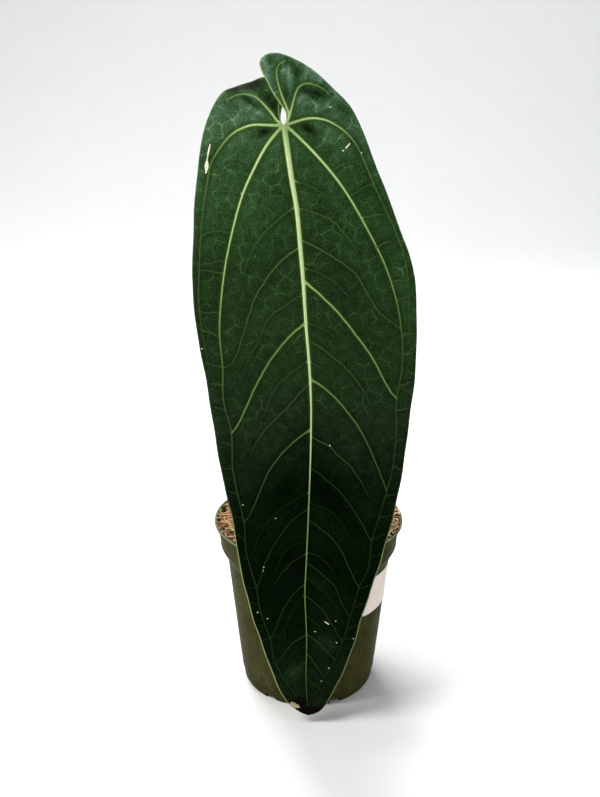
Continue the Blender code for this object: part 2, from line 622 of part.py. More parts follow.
    def half_patch(self, side):
        """Return one half of the blade as flat points and triangles that follow its veins."""
        outline = self.margins[side][:-1] + self.midrib[:0:-1]
        if side > 0:
            outline = outline[::-1]
        lines = self.halves[side]
        crests = np.concatenate([self.as_array(line) for line in (*lines, outline)])
        spots = []
        for line in (self.midrib, *lines):
            add_flanks(line, RIB_FLANK, outline, crests, spots)
        add_flanks(outline, MARGIN_ROW, outline, crests, spots)
        return triangulate(outline, lines, spots, FILL_STEP)


def build_blade(collection, finish):
    """Build the blade as one sheet of two halves and give it its thickness."""
    blade = Blade()
    patches = [(side, blade.half_patch(side)) for side in (-1, 1)]
    sheet_object("leaf_blade", patches, blade.place, collection, finish, 0.0)


def main():
    """Build the plant and its pot."""
    clear_scene()
    parts = new_collection(COLLECTION_NAME)
    cutters = new_collection("cutters")
    build_pot(parts, cutters, make_finish("pot_plastic", (0.055, 0.075, 0.038), 0.5))
    build_label(parts, make_finish("label_paper", (0.72, 0.68, 0.68), 0.6))
    build_medium(parts, make_finish("moss_fibre", (0.52, 0.34, 0.17), 0.95))
    build_stem(parts, make_finish("stem_green", (0.14, 0.17, 0.06), 0.6))
    build_bud_scale(parts, make_finish("dry_scale", (0.24, 0.14, 0.07), 0.85))
    build_stalk(parts, make_finish("stalk_green", (0.11, 0.17, 0.05), 0.45))
    build_blade(parts, make_finish("leaf_green", (0.008, 0.03, 0.012), 0.7))


main()
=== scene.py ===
"""The looks of a queen anthurium in its nursery pot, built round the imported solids.

Lengths are millimetres unless a name says otherwise, and MM turns them into metres. The plant
faces -Y, and the origin is the centre of the pot's base on the floor.
"""

import logging
import math
import random
from collections.abc import Callable, Iterable, Sequence
from dataclasses import dataclass, field
from enum import Enum

import bpy
import numpy as np
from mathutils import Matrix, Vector, geometry, kdtree, noise


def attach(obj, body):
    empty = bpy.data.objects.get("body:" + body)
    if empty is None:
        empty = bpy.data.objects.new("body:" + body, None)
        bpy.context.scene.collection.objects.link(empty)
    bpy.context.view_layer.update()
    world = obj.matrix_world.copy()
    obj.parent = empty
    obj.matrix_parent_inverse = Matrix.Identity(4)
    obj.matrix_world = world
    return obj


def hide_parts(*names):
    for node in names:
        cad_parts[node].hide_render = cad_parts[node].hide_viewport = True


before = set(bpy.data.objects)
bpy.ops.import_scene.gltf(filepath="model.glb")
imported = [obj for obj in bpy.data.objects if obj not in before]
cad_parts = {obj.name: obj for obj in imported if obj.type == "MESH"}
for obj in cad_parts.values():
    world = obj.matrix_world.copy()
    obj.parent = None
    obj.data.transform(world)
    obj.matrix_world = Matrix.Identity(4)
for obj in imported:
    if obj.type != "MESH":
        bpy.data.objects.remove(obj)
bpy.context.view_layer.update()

MM = 0.001
ROOT = "root"
Span = tuple[float, float]
Triple = tuple[float, float, float]
Quad = tuple[float, float, float, float]
Colour = Triple
Profile = tuple[Span, ...]
Stops = tuple[tuple[float, Colour], ...]
Array = np.ndarray
Material = bpy.types.Material
Node = bpy.types.Node
Piece = bpy.types.Object
Socket = bpy.types.NodeSocket
log = logging.getLogger("anthurium")


# Curves and flat geometry


def smooth_path(points: Sequence[Sequence[float]], step: float) -> Array:
    """Sample a smooth curve through some points, with its ends kept.

    Args:
        points: The points that the curve passes through, flat or in space.
        step: About how far apart the samples lie.

    Returns:
        The samples, one to a row.
    """
    knots = [Vector(point) for point in points]
    knots = [2 * knots[0] - knots[1], *knots, 2 * knots[-1] - knots[-2]]
    samples = []
    for before, start, end, after in zip(knots, knots[1:], knots[2:], knots[3:]):
        length = (end - start).length
        leave = (end - before) * length / ((start - before).length + length)
        arrive = (after - start) * length / ((after - end).length + length)
        count = max(1, round(length / step))
        for index in range(count):
            t = index / count
            samples.append((1 + 2 * t) * (1 - t) ** 2 * start + t * (1 - t) ** 2 * leave
                           + t * t * (3 - 2 * t) * end - t * t * (1 - t) * arrive)
    samples.append(knots[-2])
    return np.array([tuple(sample) for sample in samples])


def resample(line: Array, step: float) -> Array:
    """Place points along the straight stretches of a line, a step apart at most.

    Args:
        line: The line's points, one to a row.
        step: The widest gap between two of them.

    Returns:
        The points, the line's own among them.
    """
    points = [line[0]]
    for start, end in zip(line, line[1:]):
        count = max(1, math.ceil(float(np.linalg.norm(end - start)) / step))
        points.extend(start + (end - start) * index / count for index in range(1, count + 1))
    return np.array(points)


def gap_to_line(points: Array, line: Array) -> tuple[Array, Array]:
    """Measure how far points lie from a line, and where along it.

    Args:
        points: Flat points, one to a row.
        line: The line's points, one to a row.

    Returns:
        Each point's distance, and the share of the line before the nearest place, from 0 to 1.
    """
    start, span = line[:-1], line[1:] - line[:-1]
    square = np.maximum((span * span).sum(1), 1e-9)
    gaps, shares = [], []
    for block in np.array_split(points, max(1, len(points) // 3000)):
        offset = block[:, None, :] - start[None]
        t = np.clip((offset * span).sum(2) / square, 0, 1)
        away = offset - span * t[..., None]
        gap = np.hypot(away[..., 0], away[..., 1])
        nearest = gap.argmin(1)
        rows = np.arange(len(block))
        gaps.append(gap[rows, nearest])
        shares.append((nearest + t[rows, nearest]) / len(span))
    return np.concatenate(gaps), np.concatenate(shares)


def inside_outline(points: Array, outline: Array) -> Array:
    """Say which flat points lie inside a closed outline.

    Args:
        points: The points, one to a row.
        outline: The outline's corners.

    Returns:
        True for each point that lies inside.
    """
    inside = np.zeros(len(points), bool)
    for start, end in zip(outline, np.roll(outline, -1, axis=0)):
        if start[1] == end[1]:
            continue
        spans = (start[1] > points[:, 1]) != (end[1] > points[:, 1])
        crossing = start[0] + (points[:, 1] - start[1]) * (end[0] - start[0]) / (end[1] - start[1])
        inside ^= spans & (points[:, 0] < crossing)
    return inside


def pairs(*numbers: float) -> Profile:
    """Return numbers that are given in turn as pairs."""
    return tuple(zip(numbers[::2], numbers[1::2]))


def read_profile(profile: Profile, shares: Array) -> Array:
    """Read a profile, given as pairs of share and value, at some shares."""
    return np.interp(shares, [pair[0] for pair in profile], [pair[1] for pair in profile])


def ease(values: Array | float, low: float, high: float) -> Array:
    """Turn values into 0 below low and 1 above high, with a soft change between them."""
    t = np.clip((np.asarray(values, float) - low) / (high - low), 0, 1)
    return t * t * (3 - 2 * t)


def window(values: Array, start: float, full: float, ebb: float, end: float) -> Array:
    """Turn values into 1 from full to ebb and 0 outside start and end, with soft changes between."""
    return ease(values, start, full) * ease(-values, -end, -ebb)


def rise(values: Array, reach: float) -> Array:
    """Turn values into their share of a reach, whatever their sign, up to 1."""
    return np.clip(np.abs(values) / reach, 0, 1)


def fade(values: Array, reach: float) -> Array:
    """Turn values into 1 where they are 0, and softly into nothing well beyond a reach."""
    return np.exp(-(values / reach) ** 2)


def ripple(points: Array, size: float, seed: float) -> Array:
    """Return a smooth random value from -1 to 1 at each flat point, with blotches of a size."""
    return np.array([noise.noise(Vector((x / size, y / size, seed))) for x, y in points])


class Scatter:
    """Flat points that keep a clearance from one another."""

    def __init__(self, widest: float) -> None:
        """Start with no points.

        Args:
            widest: The largest clearance that will be asked for.
        """
        self.cell = widest
        self.points: list[Span] = []
        self.cells: dict[tuple[int, int], list[int]] = {}

    def key(self, point: Sequence[float]) -> tuple[int, int]:
        """Return the cell that a point lies in."""
        return math.floor(point[0] / self.cell), math.floor(point[1] / self.cell)

    def is_free(self, point: Sequence[float], clearance: float) -> bool:
        """Say whether no kept point lies within the clearance.

        Args:
            point: The place asked about.
            clearance: How far from it to look.

        Returns:
            True where there is none.
        """
        column, row = self.key(point)
        for across in (column - 1, column, column + 1):
            for along in (row - 1, row, row + 1):
                for index in self.cells.get((across, along), ()):
                    if math.dist(self.points[index], point) < clearance:
                        return False
        return True

    def keep(self, point: Sequence[float]) -> None:
        """Keep a point."""
        self.cells.setdefault(self.key(point), []).append(len(self.points))
        self.points.append((float(point[0]), float(point[1])))

    def add(self, points: Iterable[Sequence[float]], clearance: float) -> None:
        """Keep those of the points that have the clearance, one after the other.

        Args:
            points: The points.
            clearance: What each must keep to those before it.
        """
        for point in points:
            if self.is_free(point, clearance):
                self.keep(point)


def hexagonal_grid(low: Sequence[float], high: Sequence[float], step: float) -> Array:
    """Return the points of a grid of equal triangles over a rectangle.

    Args:
        low: The rectangle's lowest corner.
        high: Its highest corner.
        step: How far apart the points lie.

    Returns:
        The points, one to a row.
    """
    rows = np.arange(low[1], high[1], step * math.sqrt(3) / 2)
    columns = np.arange(low[0], high[0], step)
    across, along = np.meshgrid(columns, rows)
    across = across + step / 2 * (np.arange(len(rows)) % 2)[:, None]
    return np.column_stack((across.ravel(), along.ravel()))


def triangulate(outline: Array, points: Sequence[Sequence[float]]) -> tuple[Array, Array]:
    """Split an outline into triangles that take in some points inside it.

    Args:
        outline: The closed outline's corners.
        points: The points inside it.

    Returns:
        All points, the outline's first, and the triangles as rows of three indices, anticlockwise.
    """
    corners = [Vector(point) for point in (*outline, *points)]
    edges = [(index, (index + 1) % len(outline)) for index in range(len(outline))]
    result = geometry.delaunay_2d_cdt(corners, edges, [], 1, 1e-6)
    flat = np.array([tuple(point) for point in result[0]])
    triangles = np.array([tuple(face) for face in result[2]])
    first, second, third = (flat[triangles[:, column]] for column in range(3))
    turn = np.cross(second - first, third - first)
    triangles[turn < 0] = triangles[turn < 0][:, ::-1]
    return flat, triangles


# Meshes


def sheet_grid(rows: int, columns: int) -> Sequence[Array]:
    """Return the share of the way up, 0 to 1, and across, -1 to 1, at each point of a grid."""
    return np.meshgrid(np.linspace(0, 1, rows), np.linspace(-1, 1, columns), indexing="ij")


def grid_triangles(rows: int, columns: int) -> Array:
    """Join a grid of points into triangles.

    Args:
        rows: How many rows it has.
        columns: How many points a row has.

    Returns:
        The triangles, two to a cell.
    """
    index = np.arange(rows * columns).reshape(rows, columns)
    low, right, above, corner = index[:-1, :-1], index[:-1, 1:], index[1:, :-1], index[1:, 1:]
    return np.concatenate((np.stack((low, right, corner), -1).reshape(-1, 3),
                           np.stack((low, corner, above), -1).reshape(-1, 3)))


def vertex_normals(points: Array, faces: Array) -> Array:
    """Return the unit normal at each point of a surface of triangles.

    Args:
        points: The surface's vertices.
        faces: Its triangles.

    Returns:
        The normals, one to a row.
    """
    first, second, third = (points[faces[:, column]] for column in range(3))
    across = np.cross(second - first, third - first)
    normals = np.zeros_like(points)
    for column in range(3):
        np.add.at(normals, faces[:, column], across)
    return normals / np.maximum(np.linalg.norm(normals, axis=1, keepdims=True), 1e-12)


def make_piece(name: str, points: Array, faces: Sequence[Sequence[int]], finish: Material,
               fields: dict[str, Array] | None = None) -> Piece:
    """Make a smooth mesh object.

    Args:
        name: The piece's name.
        points: Its vertices in millimetres.
        faces: Its faces as rows of indices.
        finish: Its material.
        fields: Values to keep at each vertex, by attribute name.

    Returns:
        The new object, linked to the scene.
    """
    mesh = bpy.data.meshes.new(name)
    mesh.from_pydata((np.asarray(points) * MM).tolist(), [], [list(map(int, face)) for face in faces])
    mesh.materials.append(finish)
    mesh.shade_smooth()
    for key, values in (fields or {}).items():
        layer = mesh.attributes.new(key, "FLOAT", "POINT")
        layer.data.foreach_set("value", np.asarray(values, np.float32))
    piece = bpy.data.objects.new(name, mesh)
    bpy.context.scene.collection.objects.link(piece)
    return piece


def thicken(points: Array, faces: Array, front: Array, back: Array) -> tuple[Array, Array]:
    """Give an open sheet a front and a back face, and close its rim.

    Args:
        points: The sheet's vertices.
        faces: Its triangles, which face the front.
        front: How far the front face lies before each vertex.
        back: How far the back face lies behind each vertex.

    Returns:
        The closed sheet's vertices, front ones first, and its triangles.
    """
    normals = vertex_normals(points, faces)
    count = len(points)
    shell = np.concatenate((points + normals * front[:, None], points - normals * back[:, None]))
    directed = np.concatenate([faces[:, [column, (column + 1) % 3]] for column in range(3)])
    known = {tuple(edge) for edge in directed.tolist()}
    rim = np.array([edge for edge in directed.tolist() if (edge[1], edge[0]) not in known])
    start, end = rim[:, 0], rim[:, 1]
    walls = [np.column_stack((end, start, start + count)), np.column_stack((end, start + count, end + count))]
    return shell, np.concatenate((faces, faces[:, ::-1] + count, *walls))


def sweep(route: Array, radii: Array, sides: int) -> tuple[Array, list[list[int]], Array]:
    """Run a round tube along a route, closed at both ends.

    Args:
        route: The points of its centre line.
        radii: Its radius at each point and side, or at each point.
        sides: How many sides it has.

    Returns:
        Its vertices, its faces, and each vertex's share of the way along it.
    """
    along = np.gradient(route, axis=0)
    along /= np.linalg.norm(along, axis=1, keepdims=True)
    side = np.cross(along[0], (0.0, 1.0, 0.0))
    radii = np.broadcast_to(np.asarray(radii, float).reshape(len(route), -1), (len(route), sides))
    rings = []
    angles = np.linspace(0, math.tau, sides, endpoint=False)[:, None]
    for centre, direction, radius in zip(route, along, radii):
        side = side - direction * (side @ direction)
        side = side / np.linalg.norm(side)
        rings.append(centre + radius[:, None] * (np.cos(angles) * side
                                                 + np.sin(angles) * np.cross(direction, side)))
    faces = [list(range(sides))[::-1], [(len(route) - 1) * sides + index for index in range(sides)]]
    for ring in range(len(route) - 1):
        for index in range(sides):
            low, beside = ring * sides + index, ring * sides + (index + 1) % sides
            faces.append([low, beside, beside + sides, low + sides])
    shares = np.repeat(np.linspace(0, 1, len(route)), sides)
    return np.concatenate(rings), faces, shares


def turn_profile(profile: Array, sides: int, radial: Callable[[Array, Array], Array] | None = None
                 ) -> tuple[Array, list[list[int]]]:
    """Turn a profile of radius and height round the Z axis.

    Args:
        profile: Radius and height, one pair to a row. It starts and ends on the axis.
        sides: How many sides the turned shape has.
        radial: Takes angles and heights, and returns how much to add to the radius.

    Returns:
        The vertices and the faces of the closed shape.
    """
    angles = np.linspace(0, math.tau, sides, endpoint=False)
    points = [np.array([[0.0, 0.0, profile[0, 1]], [0.0, 0.0, profile[-1, 1]]])]
    for radius, height in profile[1:-1]:
        heights = np.full(sides, height)
        reach = radius + (radial(angles, heights) if radial else 0.0)
        points.append(np.column_stack((reach * np.cos(angles), reach * np.sin(angles), heights)))
    rings = len(profile) - 2
    faces = []
    for index in range(sides):
        beside = (index + 1) % sides
        faces.append([0, 2 + index, 2 + beside])
        last = 2 + (rings - 1) * sides
        faces.append([1, last + beside, last + index])
        for ring in range(rings - 1):
            low = 2 + ring * sides
            faces.append([low + index, low + sides + index, low + sides + beside, low + beside])
    return np.concatenate(points), faces


def round_corners(profile: Sequence[Triple], steps: int) -> Array:
    """Round the corners of a flat line.

    Args:
        profile: Each corner's two coordinates and its radius.
        steps: How many points each arc has.

    Returns:
        The points of the rounded line, one to a row.
    """
    points = []
    corners = [np.array(corner[:2], float) for corner in profile]
    for index, (corner, (_, _, radius)) in enumerate(zip(corners, profile)):
        if radius == 0 or index in (0, len(corners) - 1):
            points.append(corner)
            continue
        back, ahead = corners[index - 1] - corner, corners[index + 1] - corner
        reach = min(radius, float(np.linalg.norm(back)) * 0.45, float(np.linalg.norm(ahead)) * 0.45)
        start = corner + back / np.linalg.norm(back) * reach
        end = corner + ahead / np.linalg.norm(ahead) * reach
        for t in np.linspace(0, 1, steps):
            points.append((1 - t) ** 2 * start + 2 * t * (1 - t) * corner + t * t * end)
    return np.array(points)


# Node trees


class Bench:
    """A node tree under construction: adds nodes, sets their sockets and links them."""

    def __init__(self, tree: bpy.types.NodeTree) -> None:
        """Work on a tree."""
        self.tree = tree

    def add(self, kind: str, inputs: dict[str | int, object] | None = None, **settings: object) -> Node:
        """Add a node.

        Args:
            kind: The node's type.
            inputs: What to put in its sockets, by name or number: a value, or another socket.
            **settings: The node's own settings.

        Returns:
            The new node.
        """
        node = self.tree.nodes.new(kind)
        for name, value in settings.items():
            setattr(node, name, value)
        for name, value in (inputs or {}).items():
            self.feed(node.inputs[name], value)
        return node

    def feed(self, socket: Socket, value: object) -> None:
        """Put a value in a socket, or link another socket to it.

        Args:
            socket: The socket.
            value: The value, or the socket to link.
        """
        if isinstance(value, Socket):
            self.tree.links.new(value, socket)
        elif isinstance(value, tuple) and len(value) == 3 and socket.type == "RGBA":
            socket.default_value = (*value, 1.0)
        else:
            socket.default_value = value

    def put(self, kind: str, inputs: dict[str | int, object] | None = None, **settings: object) -> Socket:
        """Add a node, and return its first output."""
        return self.add(kind, inputs, **settings).outputs[0]

    def math(self, operation: str, first: object, second: object = 0.0) -> Socket:
        """Return the result of a sum on numbers."""
        return self.put("ShaderNodeMath", {0: first, 1: second}, operation=operation)

    def times(self, first: object, second: object) -> Socket:
        """Return the product of two numbers."""
        return self.math("MULTIPLY", first, second)

    def plus(self, first: object, second: object) -> Socket:
        """Return the sum of two numbers."""
        return self.math("ADD", first, second)

    def vector(self, operation: str, first: object, second: object) -> Socket:
        """Return the vector result of a sum on vectors."""
        return self.put("ShaderNodeVectorMath", {0: first, 1: second}, operation=operation)

    def scaled(self, vector: object, scale: object) -> Socket:
        """Return a vector times a number."""
        return self.put("ShaderNodeVectorMath", {0: vector, "Scale": scale}, operation="SCALE")

    def point(self, x: object = 0.0, y: object = 0.0, z: object = 0.0) -> Socket:
        """Return a vector of three numbers."""
        return self.put("ShaderNodeCombineXYZ", {0: x, 1: y, 2: z})

    def parts(self, vector: object) -> Sequence[Socket]:
        """Return a vector's three numbers."""
        return self.add("ShaderNodeSeparateXYZ", {0: vector}).outputs

    def between(self, value: object, low: float, high: float, to_low: float = 0.0,
                to_high: float = 1.0) -> Socket:
        """Return a value moved softly from one range to another, and held at its ends."""
        inputs = {"Value": value, "From Min": low, "From Max": high, "To Min": to_low, "To Max": to_high}
        return self.add("ShaderNodeMapRange", inputs, interpolation_type="SMOOTHSTEP").outputs["Result"]

    def blend(self, share: object, first: object, second: object, how: str = "MIX") -> Socket:
        """Return two colours blended."""
        node = self.add("ShaderNodeMix", {0: share, 6: first, 7: second}, data_type="RGBA", blend_type=how)
        return node.outputs[2]

    def noise(self, place: object, scale: object, detail: float = 2.0, roughness: float = 0.5) -> Socket:
        """Return a noise texture's value."""
        inputs = {"Vector": place, "Scale": scale, "Detail": detail, "Roughness": roughness}
        return self.put("ShaderNodeTexNoise", inputs)

    def ramp(self, value: object, stops: Stops) -> Socket:
        """Return the colour at a value between stops of places and colours.

        Args:
            value: Where to read, from 0 to 1.
            stops: The places and colours, in order.

        Returns:
            The colour.
        """
        node = self.add("ShaderNodeValToRGB", {0: value})
        stones = node.color_ramp.elements
        for index, (place, colour) in enumerate(stops):
            stone = stones[index] if index < 2 else stones.new(place)
            stone.position, stone.color = place, (*colour, 1.0)
        return node.outputs[0]


class Effect(Enum):
    """The surface effects that several finishes share, each a node group."""

    MOTTLE = "mottle"
    FIBRE = "fibre"
    GRIME = "grime"

    def tree(self) -> bpy.types.NodeTree:
        """Return the effect's node group, built the first time it is asked for."""
        build = {Effect.MOTTLE: mottle_tree, Effect.FIBRE: fibre_tree, Effect.GRIME: grime_tree}[self]
        return bpy.data.node_groups.get(self.value) or build()


def start_group(name: str, inputs: dict[str, object],
                outputs: dict[str, str]) -> tuple[Bench, Sequence[Socket]]:
    """Start a shader node group.

    Args:
        name: The group's name.
        inputs: Each input's name and first value; a place has no value.
        outputs: Each output's name and socket type.

    Returns:
        A bench on the group's tree, and the sockets of what it is given.
    """
    tree = bpy.data.node_groups.new(name, "ShaderNodeTree")
    kinds = {tuple: "NodeSocketColor", float: "NodeSocketFloat", type(None): "NodeSocketVector"}
    for label, value in inputs.items():
        socket = tree.interface.new_socket(label, in_out="INPUT", socket_type=kinds[type(value)])
        if isinstance(value, tuple):
            socket.default_value = (*value, 1.0)
        elif value is not None:
            socket.default_value = value
    for label, kind in outputs.items():
        tree.interface.new_socket(label, in_out="OUTPUT", socket_type=kind)
    return Bench(tree), tree.nodes.new("NodeGroupInput").outputs


def end_group(bench: Bench, results: dict[str, Socket]) -> bpy.types.NodeTree:
    """Link a group's results to its output node, and return its tree."""
    bench.add("NodeGroupOutput", results)
    return bench.tree


def mottle_tree() -> bpy.types.NodeTree:
    """Build soft blotches of two colours in two sizes, for skin that grew.

    Returns:
        The group's tree.
    """
    inputs = {"Place": None, "Size": 100.0, "Dark": (0.0, 0.0, 0.0), "Light": (1.0, 1.0, 1.0)}
    bench, given = start_group("mottle", inputs, {"Colour": "NodeSocketColor", "Height": "NodeSocketFloat"})
    wide = bench.noise(given["Place"], given["Size"], 3.0, 0.6)
    fine = bench.noise(given["Place"], bench.times(given["Size"], 6.0))
    height = bench.plus(bench.times(wide, 0.7), bench.times(fine, 0.3))
    colour = bench.blend(bench.between(height, 0.36, 0.64), given["Dark"], given["Light"])
    return end_group(bench, {"Colour": colour, "Height": height})


def fibre_tree() -> bpy.types.NodeTree:
    """Build fine lines that run up and down, for stalks, sheaths and drawn plastic.

    Returns:
        The group's tree.
    """
    bench, given = start_group("fibre", {"Place": None, "Fineness": 900.0}, {"Lines": "NodeSocketFloat"})
    flat = bench.put("ShaderNodeMapping", {"Vector": given["Place"], "Scale": (1.0, 1.0, 0.045)})
    lines = bench.noise(flat, given["Fineness"], 3.0, 0.65)
    return end_group(bench, {"Lines": bench.between(lines, 0.32, 0.68)})


def grime_tree() -> bpy.types.NodeTree:
    """Build specks and rubbed places, for what has stood on a bench and been handled.

    Returns:
        The group's tree.
    """
    outputs = {"Specks": "NodeSocketFloat", "Rubbed": "NodeSocketFloat"}
    bench, given = start_group("grime", {"Place": None, "Amount": 0.5}, outputs)
    cells = bench.put("ShaderNodeTexVoronoi", {"Vector": given["Place"], "Scale": 260.0})
    patches = bench.noise(given["Place"], 38.0, 4.0, 0.65)
    specks = bench.times(bench.between(cells, 0.16, 0.05), bench.between(patches, 0.52, 0.62))
    rubbed = bench.between(bench.noise(given["Place"], 75.0, 6.0, 0.7), 0.5, 0.72)
    return end_group(bench, {"Specks": bench.times(specks, given["Amount"]),
                             "Rubbed": bench.times(rubbed, given["Amount"])})


class Surface(Bench):
    """A material under construction: a Principled shader and the nodes that feed it."""

    def __init__(self, name: str) -> None:
        """Start a material.

        Args:
            name: The material's name.
        """
        self.material = bpy.data.materials.new(name)
        self.material.use_nodes = True
        super().__init__(self.material.node_tree)
        self.shader = self.tree.nodes["Principled BSDF"]
        self.place = self.add("ShaderNodeTexCoord").outputs["Object"]

    def finish(self, **inputs: object) -> Material:
        """Feed the shader's sockets, and return the material.

        Args:
            **inputs: What the sockets get, their names written with underscores for spaces.

        Returns:
            The material.
        """
        for name, value in inputs.items():
            self.feed(self.shader.inputs[name.replace("_", " ").title()], value)
        return self.material

    def attribute(self, name: str) -> Socket:
        """Return the value that is kept at the vertices under a name."""
        return self.add("ShaderNodeAttribute", attribute_name=name).outputs["Fac"]

    def group(self, effect: Effect, **inputs: object) -> Node:
        """Place one of the shared effects on the surface.

        Args:
            effect: Which effect.
            **inputs: What its inputs get, by name.

        Returns:
            The effect's node.
        """
        node = self.add("ShaderNodeGroup", node_tree=effect.tree())
        for name, value in {"Place": self.place, **inputs}.items():
            self.feed(node.inputs[name.title()], value)
        return node

    def bump(self, height: Socket, distance: float, strength: float = 1.0) -> None:
        """Raise the surface by a height, where distance is in metres."""
        inputs = {"Height": height, "Distance": distance, "Strength": strength}
        self.feed(self.shader.inputs["Normal"], self.put("ShaderNodeBump", inputs))


# The leaf


class Rank(Enum):
    """The ranks of vein: half width, height in front and paleness along the vein, by share."""

    MIDRIB = (
        pairs(0, 1.9, 0.043, 1.78, 0.11, 1.5, 0.18, 1.38, 0.215, 1.28, 0.284, 1.0, 0.353, 0.82, 0.388,
              0.68, 0.42, 0.57, 0.5, 0.48, 0.6, 0.42, 0.9, 0.4, 1, 0.32),
        pairs(0, 1.2, 0.3, 0.85, 0.5, 0.55, 0.7, 0.42, 1, 0.2),
        pairs(0, 0.62, 0.02, 0.8, 0.05, 0.98, 0.42, 1.0, 0.5, 0.9, 0.56, 0.62, 0.6, 0.55, 0.7, 0.52, 0.8,
              0.42, 0.88, 0.32, 0.95, 0.2, 1, 0.08))
    BASAL = (
        pairs(0, 1.0, 0.03, 0.82, 0.1, 0.7, 0.2, 0.5, 0.4, 0.42, 1, 0.4),
        pairs(0, 0.9, 0.3, 0.55, 1, 0.2),
        pairs(0, 0.58, 0.025, 0.82, 0.05, 0.97, 0.1, 0.93, 0.2, 0.78, 0.27, 0.64, 0.35, 0.36, 0.45, 0.2,
              0.55, 0.13, 0.65, 0.06, 1, 0.045))
    ARC = (
        pairs(0, 1.0, 0.06, 0.72, 0.2, 0.5, 0.4, 0.42, 1, 0.38),
        pairs(0, 0.7, 0.4, 0.4, 1, 0.12),
        pairs(0, 0.56, 0.06, 0.8, 0.12, 0.9, 0.2, 0.62, 0.3, 0.35, 0.5, 0.25, 0.7, 0.22, 0.9, 0.12, 1,
              0.05))
    LOBE = (
        pairs(0, 0.95, 0.12, 0.68, 0.5, 0.48, 1, 0.36),
        pairs(0, 0.7, 1, 0.15),
        pairs(0, 0.64, 0.1, 1, 1, 1))
    SIDE = (pairs(0, 1.2, 0.05, 0.7, 0.12, 0.56, 1, 0.46), pairs(0, 0.6, 1, 0.25), pairs(0, 1, 1, 1))
    SMALL = (pairs(0, 0.6, 0.1, 0.5, 1, 0.4), pairs(0, 0.4, 1, 0.12), pairs(0, 1, 1, 1))
    FAINT = (pairs(0, 0.48, 1, 0.36), pairs(0, 0.25, 1, 0.08), pairs(0, 0.4, 0.12, 1, 0.8, 1, 1, 0.3))
    CROSS = (pairs(0, 0.45, 1, 0.36), pairs(0, 0.2, 1, 0.05), pairs(0, 0.7, 0.2, 1, 0.8, 1, 1, 0.2))

    @property
    def half_width(self) -> Profile:
        """Half the vein's width along it."""
        return self.value[0]

    @property
    def ridge(self) -> Profile:
        """How far the vein stands out in front along it."""
        return self.value[1]

    @property
    def paleness(self) -> Profile:
        """How pale the vein is along it."""
        return self.value[2]


@dataclass(frozen=True)
class Vein:
    """One vein: the side of the leaf that it is on, its flat course and its rank."""

    side: int
    course: Array
    rank: Rank
    pale: Span = (1.0, 1.0)

    def paleness(self, shares: Array) -> Array:
        """Return how pale the vein is at some shares of its length."""
        return read_profile(self.rank.paleness, shares) * np.interp(shares, (0, 1), self.pale)


@dataclass(frozen=True)
class Branch:
    """A small vein: its rank, how pale it starts and ends, the height at which it comes to the long
    side vein, or 0 where it doesn't, and its bends."""

    rank: Rank
    pale: Span
    meets: float
    points: Profile


def branch(rank: Rank, start: float, end: float, meets: float, *bends: float) -> Branch:
    """Return a branch, its bends given as x and height in turn."""
    return Branch(rank, (start, end), meets, pairs(*bends))


